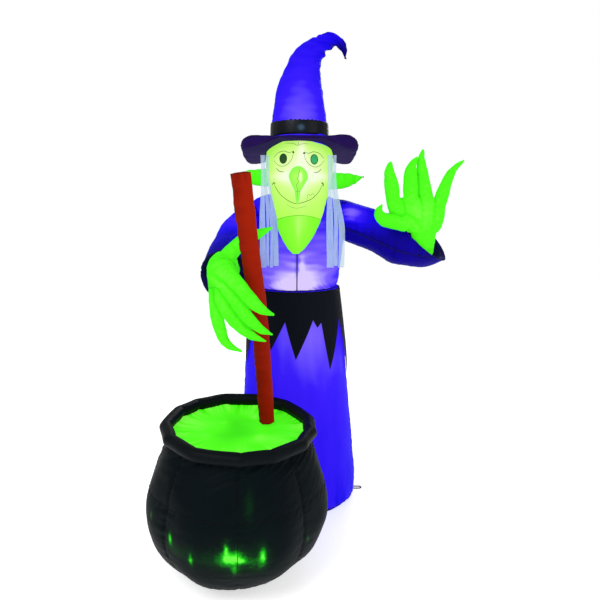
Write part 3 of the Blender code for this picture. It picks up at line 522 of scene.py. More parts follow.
# Light in the brew: the negative weight of the first entry is painted shade, a dark stripe in the middle, and
# the small bright spots are painted highlights.
BREW_LIGHTS = [
    ((-0.196, -0.480, 0.46), 0.080, -0.46, (0.9, 0.45, 0.0)),
    ((-0.314, -0.467, 0.46), 0.070, 0.22, (1, 1, 0)),
    ((-0.235, -0.440, 0.46), 0.020, 0.30, (1, 0.6, 0)), ((-0.140, -0.390, 0.46), 0.020, 0.34, (1, 0.6, 0)),
    ((-0.110, -0.560, 0.46), 0.024, 0.30, (1, 0.6, 0)), ((-0.178, -0.690, 0.46), 0.060, 0.26, (0.5, 1, 0)),
]
BRIM_STOPS = [(0.0, (0.003, 0.001, 0.022)), (0.5, (0.012, 0.003, 0.055)), (1.0, (0.030, 0.012, 0.120))]
BRIM_LIGHTS = [((0.016, -0.080, 1.410), 0.120, 0.30, ROUND)]
SATIN_STOPS = [(0.0, (0.0, 0.0, 0.0)), (0.3, (0.004, 0.008, 0.012)), (1.0, (0.060, 0.130, 0.200))]
# Painted highlight: a soft teal glow on the front of the black satin band.
SATIN_LIGHTS = [((0.022, -0.141, 1.466), 0.024, 0.90, (0.8, 1.0, 0.9), 1.5)]
STICK_STOPS = [(0.0, (0.050, 0.001, 0.000)), (0.45, (0.150, 0.004, 0.000)), (1.0, (0.330, 0.012, 0.001))]
# The stick holds no lamp: its glow, brighter towards the top, is painted light and shade.
STICK_LIGHTS = [((-0.130, -0.540, 1.200), 0.330, 0.45, ROUND)]
POT_STOPS = [
    (0.00, (0.0, 0.0, 0.0)), (0.06, (0.0, 0.0015, 0.0)), (0.22, (0.001, 0.030, 0.001)),
    (0.48, (0.006, 0.300, 0.003)), (0.75, (0.030, 0.850, 0.010)), (1.00, (0.160, 0.990, 0.060)),
]
POT_SPARK_SHARPNESS = 1.6
POT_SPARKS = [  # where light comes through the lower pot: place, reach, strength and stretch
    ((-0.189, -0.799, 0.230), 0.0130, 1.00, (1.5, 0.3, 0.55)),
    ((-0.186, -0.799, 0.204), 0.0200, 1.20, (0.95, 0.3, 1.1)),
    ((-0.160, -0.797, 0.206), 0.0190, 0.85, (0.9, 0.3, 0.9)),
    ((-0.148, -0.795, 0.196), 0.0150, 0.80, (0.7, 0.3, 1.4)),
    ((-0.126, -0.770, 0.350), 0.0500, 0.13, (1.6, 0.3, 0.55)),
    ((-0.087, -0.779, 0.203), 0.0150, 1.10, (1.25, 0.3, 0.50)),
    ((-0.359, -0.743, 0.230), 0.0110, 0.90, (1.4, 0.3, 0.50)),
    ((-0.293, -0.777, 0.190), 0.0120, 0.80, (1.5, 0.3, 0.5)),
    ((-0.167, -0.786, 0.165), 0.0190, 0.38, (1.2, 0.3, 0.60)),
    ((-0.429, -0.667, 0.265), 0.0110, 0.36, (1.4, 0.3, 0.5)),
    ((0.042, -0.684, 0.189), 0.0110, 0.34, (1.4, 0.3, 0.5)),
    ((-0.105, -0.780, 0.180), 0.0450, 0.20, ROUND),
    ((-0.200, -0.790, 0.195), 0.0750, 0.20, (0.6, 0.6, 1.6)),
    ((-0.330, -0.750, 0.205), 0.0500, 0.14, (0.6, 0.6, 1.4)),
]


def pot_material():
    """Black cloth with bulbs close behind it, which show as ragged green sparks."""
    look = cloth("pot_cloth", (0.0018, 0.0046, 0.0060), roughness=0.52, specular=0.035)
    sparks = add_lights(look, 0.0, [(*spark, POT_SPARK_SHARPNESS) for spark in POT_SPARKS])
    flecks = look.math("MULTIPLY", look.noise(70.0, 4.0, distortion=0.8), 1.2)
    ragged = look.math("MULTIPLY", sparks, look.math("ADD", 0.35, flecks))
    look.set("Emission Color", look.ramp(ragged, POT_STOPS))
    look.set("Emission Strength", 1.0)
    return look.material


def ribbon_material():
    """Milky translucent ribbon with fine lengthwise ribs."""
    look = Look("hair_satin", 0.35, 0.25)
    streak = look.grain(30.0, 2.0, (9, 9, 0.4))
    look.set("Base Color", look.tint(streak, (0.24, 0.33, 0.46), (0.46, 0.57, 0.68)))
    # The ribbon holds no lamp: its faint, streaky glow is painted light.
    look.set("Emission Color", look.tint(streak, (0.07, 0.12, 0.17), (0.17, 0.25, 0.29)))
    look.set("Emission Strength", 0.9)
    look.set("Alpha", 0.68)
    look.set("Normal", look.bump(look.bands("X", 45.0), 0.0001))
    return look.material


def ink_material(name, colour):
    look = Look(name, 0.7, 0.1)
    look.set("Base Color", look.tint(look.noise(300.0, 2.0), colour, tuple(c * 1.6 + 0.002 for c in colour)))
    return look.material


def plastic_material(name, base, roughness=0.45):
    """Moulded plastic: fine spark-eroded grain and faint handling marks."""
    look = Look(name, roughness, 0.22)
    marks = look.noise(40.0, 5.0)
    look.set("Base Color", look.tint(marks, base, tuple(min(1.0, c * 1.35 + 0.004) for c in base)))
    look.set("Roughness", look.math("ADD", roughness - 0.08, look.math("MULTIPLY", marks, 0.2)))
    look.set("Normal", look.bump(look.noise(900.0, 2.0), 0.00008))
    return look.material


def steel_material():
    look = Look("zinc_plate", 0.3, 0.5)
    look.set("Metallic", 1.0)
    drawn = look.grain(140.0, 3.0, (1, 1, 0.05))
    look.set("Base Color", look.tint(drawn, (0.42, 0.43, 0.45), (0.72, 0.73, 0.74)))
    look.set("Roughness", look.math("ADD", 0.20, look.math("MULTIPLY", drawn, 0.25)))
    return look.material


def lens_material():
    look = Look("lamp_diffuser", 0.18, 0.5)
    look.set("Base Color", look.tint(look.noise(60.0), (0.80, 0.85, 0.92), (0.96, 0.97, 0.99)))
    look.set("Emission Color", (0.90, 0.94, 1.0, 1.0))
    look.set("Emission Strength", 1.2)
    return look.material


def webbing_material():
    """Black webbing with its diagonal ribs."""
    look = Look("strap_webbing", 0.8, 0.04)
    ribs = look.bands("DIAGONAL", 28.0)
    look.set("Base Color", look.tint(ribs, (0.006, 0.006, 0.007), (0.022, 0.022, 0.024)))
    look.set("Normal", look.bump(ribs, 0.0004))
    return look.material


def make_looks():
    """Every material, by its name."""
    made = [glowing(name, (0.004, 0.001, 0.180), ROBE_STOPS, lights, floor, toward=(0.0, -0.07, 0.0),
                    strength=0.95, roughness=0.58) for name, (floor, lights) in ROBE_LIGHTS.items()]
    made += [glowing(name, (0.020, 0.300, 0.003), GREEN_STOPS, lights, floor, toward=(0.0, -0.32, 0.06),
                     strength=0.82, folds=0.75, on_uv="hand" not in name)
             for name, (floor, lights) in GREEN_LIGHTS.items()]
    made += [
        glowing("face_cloth", (0.130, 0.230, 0.030), FACE_STOPS, FACE_LIGHTS, 0.20, 0.05,
                toward=(0.0, -0.12, 0.0), strength=0.88, mottle=0.06),
        glowing("chin_cloth", (0.040, 0.260, 0.006), CHIN_STOPS, CHIN_LIGHTS, 0.14, toward=(0.0, -0.08, 0.0),
                strength=0.86),
        glowing("nose_cloth", (0.070, 0.300, 0.020), NOSE_STOPS, NOSE_LIGHTS, 0.12, toward=(0.0, -0.10, 0.0),
                strength=0.84),
        glowing("brew_cloth", (0.020, 0.300, 0.003), GREEN_STOPS, BREW_LIGHTS, 0.78, 0.30, strength=0.84,
                folds=0.80),
        glowing("brim_cloth", (0.006, 0.002, 0.022), BRIM_STOPS, BRIM_LIGHTS, 0.25, 0.10,
                toward=(0.0, -0.25, -0.10), roughness=0.7),
        glowing("band_satin", (0.0045, 0.0065, 0.0095), SATIN_STOPS, SATIN_LIGHTS, 0.0, 0.05, specular=0.12,
                roughness=0.34),
        # The stick's glow is also lighter on its right-hand side: painted light and shade.
        glowing("stick_cloth", (0.080, 0.004, 0.001), STICK_STOPS, STICK_LIGHTS, 0.30, 0.10,
                toward=(0.26, -0.14, 0.0), strength=0.95, folds=0.5, mottle=0.2),
        pot_material(), ribbon_material(), steel_material(), lens_material(), webbing_material(),
        plain_cloth("sash_cloth", (0.0036, 0.0045, 0.0100), specular=0.05),
        plain_cloth("rim_cloth", (0.0030, 0.0048, 0.0062), roughness=0.48, specular=0.06),
        plain_cloth("cuff_lining", (0.005, 0.004, 0.100), specular=0.08),
        plain_cloth("ballast_canvas", (0.420, 0.360, 0.260), roughness=0.85, on_uv=False),
        plain_cloth("ground_cloth", (0.010, 0.004, 0.120), roughness=0.65, on_uv=False),
        plain_cloth("ground_cloth_black", (0.006, 0.006, 0.008), roughness=0.65, on_uv=False),
        plastic_material("moulded_black", (0.014, 0.014, 0.016)),
        plastic_material("moulded_grey", (0.300, 0.310, 0.320), 0.5),
        plastic_material("wire_green", (0.020, 0.080, 0.030), 0.5),
    ]
    seams = {
        "navy": (0.006, 0.004, 0.120), "black": (0.003, 0.003, 0.004), "brown": (0.060, 0.006, 0.002),
        "green": (0.030, 0.420, 0.006), "pale": (0.330, 0.560, 0.080), "chin": (0.120, 0.520, 0.030),
    }
    made += [plain_cloth(f"seam_{colour}", base, specular=0.10) for colour, base in seams.items()]
    inks = {
        "black": (0.018, 0.040, 0.012), "green": (0.160, 0.320, 0.070), "iris_dark": (0.012, 0.060, 0.012),
        "iris_bright": (0.030, 0.330, 0.110),
    }
    made += [ink_material(f"print_{colour}", base) for colour, base in inks.items()]
    return {material.name: material for material in made}


LOOKS = make_looks()


# ---------------------------------------------------------------- tight, air-filled chambers
SKIRT = [  # height and radius
    (0.0035, 0.232), (0.018, 0.2435), (0.050, 0.247), (0.120, 0.245), (0.260, 0.233), (0.400, 0.217),
    (0.650, 0.198), (0.790, 0.181), (0.869, 0.170),
]


def pleats(row, pitch, depth, reach, seed):
    """A row of a chamber that is sewn round, and the creases beside it."""
    return row, {"pitch": pitch, "depth": depth, "reach": reach, "seed": seed}


def chamber(name, rings, look, body, node, around=200, square=1.0, seams=(), lump=(0.12, 0.003),
            ends=(), cap_start=False, cap_end=False, reshape=None, grain=(1.0, 1.0, 2.6), wrinkle=0.0006):
    """A chamber of cut panels: creased along its seams and ends, slightly lumpy, and closed tight by air."""
    points, angles = tube_points(rings, around if FINE else around // 2, square)
    if reshape is not None:
        points = reshape(points, angles)
    folds = seam_creases(points, angles, seams)
    for row, how in ends:
        folds += end_creases(points, row, **how)
    folds += lumps(points * np.array(grain), 0.050, wrinkle, 2.0 + len(name))
    points = raised(points, folds + lumps(points, *lump, len(name)))
    mesh = grid_mesh(name, points, cap_start, cap_end)
    mark_folds(mesh, folds)
    return airtight(name, mesh, body, look, node), points, angles


def seam_line(points, angles, seam, lift=0.0006):
    """The run of a lengthwise seam along a chamber, and the normals along it."""
    column = int(np.argmin(np.abs(turn_gap(angles, seam))))
    normals = grid_normals(points)[:, column]
    return points[:, column] + normals * lift, normals


def seam_beads(seams, points, angles, radius, body, look, start=0, end=None):
    """A bead along each lengthwise seam, from a dictionary of names and angles."""
    for name, seam in seams.items():
        line, _ = seam_line(points, angles, seam)
        bead(name, line[start:end:2], radius, body, look)


def profile_tube(profile, step):
    """Heights every step up a profile, and its values at them."""
    heights = np.append(np.arange(profile[0][0], profile[-1][0], step), profile[-1][0])
    return heights, columns_at(smooth_values(profile, 12), heights)


def make_skirt():
    heights, (radii,) = profile_tube(SKIRT, 0.0055)
    zero = np.zeros_like(heights)
    rings = level_rings(np.stack([zero, zero, heights, radii, radii], axis=1))
    folds = [pleats(0, 0.020, 0.0022, 0.05, 4.0), pleats(len(heights) - 1, 0.016, 0.0016, 0.05, 9.0)]
    sides = {"skirt_seam_left": -0.09, "skirt_seam_right": math.pi + 0.09}
    skirt, points, angles = chamber(
        "robe_skirt", rings, "skirt_cloth", "lower", "skirt", around=380,
        seams=[*sides.values(), math.pi / 2], lump=(0.16, 0.0035), ends=folds, grain=(1.6, 1.6, 0.35))
    open_blower_hole(skirt.data)
    seam_beads(sides, points, angles, 0.0018, "lower", "seam_navy")
    bead("skirt_hem_seam", points[2][::2], 0.0012, "lower", "seam_navy", closed=True)


BLOWER_Z, BLOWER_HOLE = 0.090, 0.0768


def open_blower_hole(mesh):
    """Cuts the round opening in the back for the fan's duct, with a clean edge."""
    def off_axis(place):
        return math.hypot(place.x, place.z - BLOWER_Z)

    with editing(mesh) as build:
        middles = [(face, face.calc_center_median()) for face in build.faces]
        inside = [face for face, middle in middles if middle.y > 0 and off_axis(middle) < BLOWER_HOLE]
        rim = {vertex for face in inside for vertex in face.verts}
        bmesh.ops.delete(build, geom=inside, context="FACES")
        for vertex in rim:
            if vertex.is_valid and vertex.is_boundary:
                grow = BLOWER_HOLE / max(off_axis(vertex.co), 1e-6)
                vertex.co.x *= grow
                vertex.co.z = BLOWER_Z + (vertex.co.z - BLOWER_Z) * grow


SASH_HEM = [  # degrees round from the front towards +X, and height
    (-27, 0.648), (-11.5, 0.757), (0.6, 0.617), (20.7, 0.763), (25.6, 0.733), (30.7, 0.751), (39, 0.567),
    (62, 0.753), (77, 0.510), (95, 0.755), (112, 0.600), (128, 0.745), (146, 0.560), (163, 0.750),
    (182, 0.610), (200, 0.757), (219, 0.545), (237, 0.748), (254, 0.600), (272, 0.755), (290, 0.560),
    (307, 0.745), (320, 0.640), (327, 0.700), (333, 0.648),
]
SASH_TOP, SASH_ROWS, SASH_MEAN_RADIUS = 0.869, 26, 0.189


def make_sash():
    """Black cloth sewn round the waist, its torn hem lying on the skirt."""
    whole = {float(SASH_HEM[0][0] + k) for k in range(360)}
    turns = sorted(whole | {float(turn) for turn, _ in SASH_HEM[:-1]})
    (hem,) = columns_at(SASH_HEM, turns)
    angles = np.radians(turns)
    share = np.arange(SASH_ROWS)[:, None] / (SASH_ROWS - 1)
    heights = SASH_TOP + (hem - SASH_TOP)[None, :] * share
    (radius,) = columns_at(SKIRT, heights)
    free = np.clip((SASH_TOP - heights) / 0.25, 0, 1)
    ruffle = 0.0030 * ripple_at(angles * 4.2, heights * 9.0, 0.0, 2.0) * free
    gathers = 0.0016 * ripple_at(angles * 15, heights * 4.0, 0.0, 6.0) * (1 - free) ** 2
    radius = radius + 0.0056 + ruffle + gathers
    points = np.stack([radius * np.sin(angles), -radius * np.cos(angles), heights], axis=-1)
    mesh = grid_mesh("sash_cloth", points[::-1])
    piece = show("sash_cloth", mesh, "lower", "sash_cloth")
    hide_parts("waist_sash")
    waist = points[1] * np.array([1.001, 1.001, 1.0])
    bead("sash_waist_seam", waist[::3], 0.0013, "lower", "seam_black", closed=True)


TORSO = [  # height, half width and half depth
    (0.8705, 0.162, 0.162), (0.900, 0.171, 0.168), (0.960, 0.178, 0.165), (1.020, 0.186, 0.155),
    (1.070, 0.193, 0.148), (1.120, 0.196, 0.134), (1.160, 0.190, 0.117), (1.200, 0.172, 0.097),
    (1.222, 0.140, 0.083), (1.237, 0.078, 0.064),
]


def make_torso():
    heights, (wide, deep) = profile_tube(TORSO, 0.0038)
    zero = np.zeros_like(heights)
    rings = level_rings(np.stack([zero, zero, heights, wide, deep], axis=1))
    front = -math.pi / 2 + 0.04
    torso, points, angles = chamber(
        "torso_cloth", rings, "torso_cloth", None, "torso", around=320,
        seams=[front, -0.08, math.pi + 0.08], lump=(0.11, 0.0035), cap_end=True,
        ends=[pleats(0, 0.009, 0.0026, 0.018, 2.0)], grain=(0.8, 0.8, 3.4), wrinkle=0.0013)
    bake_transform(torso)
    tape = strip_mesh("torso_front_seam", *seam_line(points, angles, front, 0.0012), 0.0042, 0.0014)
    tape = show("torso_front_seam", tape, None, "seam_navy")
    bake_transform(tape)
    waist = points[0][::3] * np.array([1.006, 1.006, 1.0])
    bead("waist_seam", waist, 0.0024, "lower", "seam_navy", closed=True)


def resampled(rings, steps=10):
    return smooth_values(rings, steps if FINE else steps // 2)


def cuff_facing(rings, depth, narrow):
    """Rings of the dark lining: over the lip and back down inside the sleeve."""
    centre, across, along = rings[-1, 0:3], rings[-1, 3:6], rings[-1, 6:9]
    inward = -np.cross(across, along)
    inward /= np.linalg.norm(inward)
    found = []
    for t in np.arange(13) / 12:
        share = 1.0 - 0.035 * min(1.0, 6 * t) - narrow * t
        lip = 0.003 * math.sin(min(1.0, 4 * t) * math.pi)
        found.append(np.concatenate([centre + inward * (depth * t - lip), across * share, along * share]))
    return np.array(found)


def make_sleeve(node, rings, seams, depth):
    """A sleeve, and its dark lining inside the cuff to the depth given."""
    name = f"{node}_cloth"
    rings = resampled(rings)
    _, points, angles = chamber(
        name, rings, name, "upper", node, around=170, seams=seams, lump=(0.085, 0.0045),
        ends=[pleats(len(rings) - 1, 0.016, 0.0020, 0.03, 6.0), pleats(8, 0.012, 0.0030, 0.045, 3.0)])
    lining, _ = tube_points(cuff_facing(rings, depth, 0.42), len(angles))
    lining[0] = points[-1]
    lining[1:] = raised(lining[1:], lumps(lining[1:], 0.03, 0.003, 5.0))
    mesh = grid_mesh(f"{name}_lining", lining[::-1, ::-1], cap_start=True)
    airtight(f"{name}_lining", mesh, "upper", "cuff_lining")
    bead(f"{name}_cuff_seam", points[-1][::2], 0.0014, "upper", "seam_navy", closed=True)
    beads = {f"{name}_seam_{k}": seam for k, seam in enumerate(seams)}
    seam_beads(beads, points, angles, 0.0017, "upper", "seam_navy", start=6)


def make_sleeves():
    path = [(-0.120, 0.000, 1.140), (-0.166, -0.030, 1.116), (-0.198, -0.090, 1.086), (-0.215, -0.160, 1.044),
            (-0.226, -0.235, 0.992), (-0.234, -0.310, 0.938)]
    rings = path_rings(path, [0.070, 0.075, 0.079, 0.083, 0.088, 0.092])
    rings[:, 6:9] *= np.array([1.0, 1.0, 1.0, 1.04, 1.16, 1.34])[:, None]
    make_sleeve("right_sleeve", rings, [math.pi * 0.92, 0.15], 0.080)
    rings = np.array([
        (0.120, 0.000, 1.140, 0, 0, -0.070, 0, 0.070, 0), (0.190, -0.012, 1.130, 0, 0, -0.080, 0, 0.078, 0),
        (0.265, -0.035, 1.105, 0, 0, -0.083, 0, 0.082, 0), (0.335, -0.060, 1.075, 0, 0, -0.088, 0, 0.088, 0),
        (0.385, -0.080, 1.058, 0, 0, -0.095, 0, 0.093, 0),
        (0.434, -0.100, 1.050, 0.066, 0, -0.092, 0, 0.098, 0.012),
        (0.466, -0.120, 1.085, 0.097, 0, -0.078, 0, 0.092, 0.056),
    ])
    make_sleeve("left_sleeve", rings, [0.0, math.pi, -1.15], 0.060)


# ---------------------------------------------------------------- hands
LEFT_FINGERS = [  # five points along each finger, and the radius at each
    ([(0.372, -0.190, 1.150), (0.352, -0.205, 1.200), (0.341, -0.215, 1.262), (0.333, -0.210, 1.310),
      (0.340, -0.200, 1.340)], [0.026, 0.026, 0.025, 0.016, 0.004]),
    ([(0.425, -0.190, 1.150), (0.415, -0.200, 1.200), (0.410, -0.205, 1.270), (0.413, -0.205, 1.320),
      (0.434, -0.200, 1.356)], [0.026, 0.026, 0.025, 0.018, 0.004]),
    ([(0.470, -0.185, 1.150), (0.470, -0.190, 1.210), (0.458, -0.190, 1.275), (0.451, -0.185, 1.340),
      (0.455, -0.185, 1.384)], [0.026, 0.026, 0.023, 0.015, 0.004]),
    ([(0.505, -0.180, 1.150), (0.524, -0.185, 1.205), (0.540, -0.190, 1.262), (0.565, -0.190, 1.312),
      (0.603, -0.190, 1.347)], [0.025, 0.025, 0.020, 0.013, 0.003]),
    ([(0.400, -0.200, 1.120), (0.350, -0.215, 1.130), (0.312, -0.225, 1.140), (0.297, -0.225, 1.165),
      (0.310, -0.220, 1.192)], [0.028, 0.026, 0.023, 0.015, 0.003]),
]
RIGHT_FINGERS = [
    ([(-0.215, -0.505, 0.985), (-0.180, -0.540, 0.955), (-0.130, -0.560, 0.900), (-0.098, -0.560, 0.872),
      (-0.060, -0.548, 0.853)], [0.026, 0.025, 0.021, 0.015, 0.003]),
    ([(-0.225, -0.505, 0.950), (-0.190, -0.535, 0.915), (-0.145, -0.555, 0.850), (-0.105, -0.555, 0.812),
      (-0.066, -0.542, 0.790)], [0.026, 0.024, 0.020, 0.014, 0.003]),
    ([(-0.235, -0.500, 0.930), (-0.220, -0.520, 0.885), (-0.180, -0.545, 0.830), (-0.132, -0.548, 0.790),
      (-0.086, -0.538, 0.768)], [0.026, 0.023, 0.020, 0.014, 0.003]),
    ([(-0.245, -0.495, 0.930), (-0.246, -0.500, 0.880), (-0.236, -0.510, 0.810), (-0.212, -0.515, 0.755),
      (-0.165, -0.510, 0.728)], [0.024, 0.022, 0.020, 0.014, 0.003]),
    ([(-0.225, -0.445, 1.010), (-0.190, -0.425, 1.050), (-0.150, -0.430, 1.082), (-0.105, -0.440, 1.100),
      (-0.068, -0.448, 1.117)], [0.028, 0.025, 0.022, 0.014, 0.003]),
]


def limb_mesh(points, radii, around=24, steps=6):
    values = smooth_values(np.column_stack([points, radii]), steps)
    rings = path_rings(values[:, :3], np.maximum(values[:, 3], 0.002), side=(0, 1, 0.15))
    return grid_mesh("limb", tube_points(rings, around)[0], cap_start=True, cap_end=True)


def finger_creases(places, fingers):
    """1 in the valleys between neighbouring fingers, falling to 0 within a few millimetres."""
    away = []
    for points, radii in fingers:
        values = smooth_values(np.column_stack([points, radii]), 8)
        gaps = np.linalg.norm(places[:, None, :] - values[None, :, :3], axis=2) - values[None, :, 3]
        away.append(gaps.min(axis=1))
    away = np.sort(np.array(away), axis=0)
    reach = np.exp(-(np.maximum(away[0], 0) / 0.022) ** 2)
    return np.exp(-((away[1] - away[0]) / 0.0055) ** 2) * reach


SKIN_VOXEL = 0.0028


def one_skin(name, meshes, fingers, node):
    """Fingers, palm and wrist as one smooth skin, with creases where the panels meet."""
    joined = bpy.data.meshes.new(name)
    with editing(joined) as build:
        for mesh in meshes:
            build.from_mesh(mesh)
    piece = show(name, joined, "upper", HAND_LOOKS[node])
    remesh = piece.modifiers.new("One skin", "REMESH")
    remesh.mode = "VOXEL"
    remesh.voxel_size = SKIN_VOXEL if FINE else 2 * SKIN_VOXEL
    remesh.use_smooth_shade = True
    ease = piece.modifiers.new("Ease", "SMOOTH")
    ease.factor = 0.5
    ease.iterations = 5
    whole = piece.evaluated_get(bpy.context.evaluated_depsgraph_get())
    mesh = bpy.data.meshes.new_from_object(whole)
    piece.modifiers.clear()
    piece.data = mesh
    places = np.array([v.co for v in mesh.vertices])
    normals = np.array([v.normal for v in mesh.vertices])
    valleys = finger_creases(places, fingers)
    # The valleys between the fingers are sunk, and through the folds they also darken the glow: painted shade
    # between the fingers.
    folds = lumps(places, 0.012, 0.0009, 8.0) - 0.0030 * valleys
    moved = places + normals * (lumps(places, 0.024, 0.0018, 3.0) + folds)[:, None]
    mesh.vertices.foreach_set("co", moved.ravel())
    mark_folds(mesh, folds)
    mesh.shade_smooth()
    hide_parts(node)


HAND_LOOKS = {"left_hand": "hand_cloth", "right_hand": "right_hand_cloth"}


def make_hands():
    left = [limb_mesh(*finger) for finger in LEFT_FINGERS]
    palm = level_rings([(0.464, -0.190, 1.090, 0.055, 0.030), (0.455, -0.192, 1.120, 0.078, 0.036),
                        (0.450, -0.194, 1.160, 0.090, 0.036), (0.444, -0.194, 1.195, 0.092, 0.030),
                        (0.442, -0.194, 1.215, 0.084, 0.018)])
    left.append(grid_mesh("palm", tube_points(resampled(palm), 48)[0], cap_start=True, cap_end=True))
    left.append(limb_mesh([(0.480, -0.135, 1.015), (0.474, -0.165, 1.055), (0.466, -0.188, 1.110)],
                          [0.036, 0.040, 0.048]))
    one_skin("left_hand_cloth", left, LEFT_FINGERS, "left_hand")
    right = [limb_mesh(*finger) for finger in RIGHT_FINGERS]
    wrist = [(-0.232, -0.285, 0.962), (-0.232, -0.380, 0.990), (-0.230, -0.440, 0.990),
             (-0.228, -0.490, 0.965), (-0.232, -0.505, 0.925)]
    right.append(limb_mesh(wrist, [0.040, 0.044, 0.048, 0.047, 0.036]))
    one_skin("right_hand_cloth", right, RIGHT_FINGERS, "right_hand")


# ---------------------------------------------------------------- stick
STICK = [
    (-0.094, -0.450, 0.4710), (-0.100, -0.464, 0.620), (-0.109, -0.479, 0.770), (-0.118, -0.490, 0.890),
    (-0.131, -0.500, 0.990), (-0.145, -0.510, 1.120), (-0.161, -0.520, 1.284),
]
STICK_RADII = [0.0270, 0.0275, 0.0285, 0.0295, 0.0300, 0.0310, 0.0320]
STICK_SEAM = math.pi * 1.06
STICK_DOME = [(0.0045, 0.50), (0.0025, 0.82), (0.0005, 0.96)]  # height and share of the width


def domed(ring, outward):
    """A ring at an end of the stick, drawn in to a low dome."""
    ahead = outward * np.cross(ring[3:6], ring[6:9])
    ahead = ahead / np.linalg.norm(ring[3:6]) / np.linalg.norm(ring[6:9])
    top = STICK_DOME[0][0]
    return [np.concatenate([ring[0:3] - ahead * (top - rise), ring[3:9] * share])
            for rise, share in STICK_DOME]


def make_stick():
    values = smooth_values(np.column_stack([STICK, STICK_RADII]), 30 if FINE else 12)
    rings = path_rings(values[:, :3], values[:, 3])
    top = len(rings) - 2
    rings = np.array([*domed(rings[0], -1), *rings[1:-1], *reversed(domed(rings[-1], 1))])
    _, points, angles = chamber(
        "stick_cloth", rings, "stick_cloth", "upper", "stirring_stick", around=90,
        seams=[STICK_SEAM], lump=(0.05, 0.0014), cap_start=True, cap_end=True,
        ends=[pleats(3, 0.008, 0.0016, 0.022, 1.0), pleats(top, 0.008, 0.0016, 0.022, 7.0)])
    for name, row in (("bottom", 2), ("top", -3)):
        ring = row_line(points, row, 0.0004)
        bead(f"stick_{name}_seam", ring, 0.0010, "upper", "seam_brown", closed=True)
    seam_beads({"stick_seam": STICK_SEAM}, points, angles, 0.0008, "upper", "seam_brown",
               start=4, end=-4)


# ---------------------------------------------------------------- head
HEAD_X = 0.016
CHIN_TIP, FACE_TOP = 1.0135, 1.4255
EASING = np.array([1, 3, 4, 3, 1]) / 12.0
FACE = [  # height, centre X and Y, half width and half depth, from the tip of the chin to the crown
    (1.013, 0.002, -0.200, 0.010, 0.009), (1.030, 0.004, -0.198, 0.029, 0.018),
    (1.060, 0.006, -0.192, 0.050, 0.024), (1.090, 0.009, -0.185, 0.066, 0.027),
    (1.120, 0.012, -0.176, 0.078, 0.028), (1.150, HEAD_X, -0.164, 0.086, 0.028),
    (1.190, HEAD_X, -0.150, 0.097, 0.037), (1.238, HEAD_X, -0.133, 0.109, 0.049),
    (1.256, HEAD_X, -0.090, 0.114, 0.092), (1.300, HEAD_X, -0.064, 0.125, 0.118),
    (1.350, HEAD_X, -0.054, 0.130, 0.126), (1.390, HEAD_X, -0.044, 0.124, 0.122),
    (1.420, HEAD_X, -0.036, 0.111, 0.112), (1.436, HEAD_X, -0.032, 0.104, 0.104),
]


def chin_seam(angles):
    """Height of the arched seam between face and chin."""
    return 1.151 - 0.016 * np.cos(angles) ** 2


def face_points(low, high, rows, around):
    """The face's skin between two heights, either of which may vary round it."""
    angles = turns_of(around)
    share = (np.arange(rows) / (rows - 1))[:, None]
    heights = low + (high - low) * share + np.zeros(around)[None, :]
    x, y, wide, deep = columns_at(FACE, heights)
    for values in (x, y, wide, deep):
        for _ in range(3):
            padded = np.vstack([values[:1], values[:1], values, values[-1:], values[-1:]])
            values[:] = sum(k * padded[j:j + rows] for j, k in enumerate(EASING))
    return np.stack([x + wide * np.cos(angles), y + deep * np.sin(angles), heights], axis=-1), angles


def make_face():
    """Face and chin meet along an arched seam.  Returns the skin that the print lies on."""
    rows, around = (120, 260) if FINE else (60, 130)
    points, angles = face_points(chin_seam(turns_of(around)), FACE_TOP, rows, around)
    swell = lumps(points, 0.09, 0.0022, 4.0) + seam_creases(points, angles, [0.0, math.pi], depth=0.0016)
    swell += end_creases(points, 0, pitch=0.010, depth=0.0012, reach=0.018, seed=2.0)
    points = raised(points, swell)
    mesh = grid_mesh("head_cloth", points, cap_start=True, cap_end=True)
    airtight("head_cloth", mesh, "upper", "face_cloth", "head")
    sides = {"head_seam_left": 0.0, "head_seam_right": math.pi}
    seam_beads(sides, points, angles, 0.0009, "upper", "seam_pale")
    lower, _ = face_points(CHIN_TIP, chin_seam(angles), rows * 2 // 3, around)
    swell = lumps(lower, 0.06, 0.0020, 6.0)
    swell += end_creases(lower, len(lower) - 1, pitch=0.009, depth=0.0016, reach=0.022, seed=5.0)
    lower = raised(lower, swell)
    lower[-1] = points[0]
    chin = grid_mesh("chin_cloth", lower, cap_start=True)
    airtight("chin_cloth", chin, "upper", "chin_cloth", "chin")
    front = points[0][np.sin(angles) < 0.25]
    line = front[np.argsort(front[:, 0])] + np.array([0, -0.0004, 0])
    bead("chin_seam", line[::2], 0.0010, "upper", "seam_chin")
    return surface_tree(mesh)


def oval(x, z, wide, tall, count=24):
    """Points round an oval, anticlockwise from +X as seen from the front."""
    turns = np.radians(360 / count * np.arange(count))
    return [(x + wide * math.cos(turn), z + tall * math.sin(turn)) for turn in turns]


def eased(points, steps=8):
    return [tuple(p) for p in smooth_values(points, steps)]


def print_line(name, tree, points, width, look, lift=0.0005, steps=8):
    """A printed line, as thin tape on the cloth, finer at its ends."""
    line = eased(points, steps)
    places, normals = zip(*[on_front(tree, x, z, lift) for x, z in line])
    share = np.linspace(0, 1, len(line))
    widths = width * (0.45 + 0.55 * np.sin(math.pi * share) ** 0.5)
    show(name, strip_mesh(name, places, normals, widths, 0.0003), "upper", look)


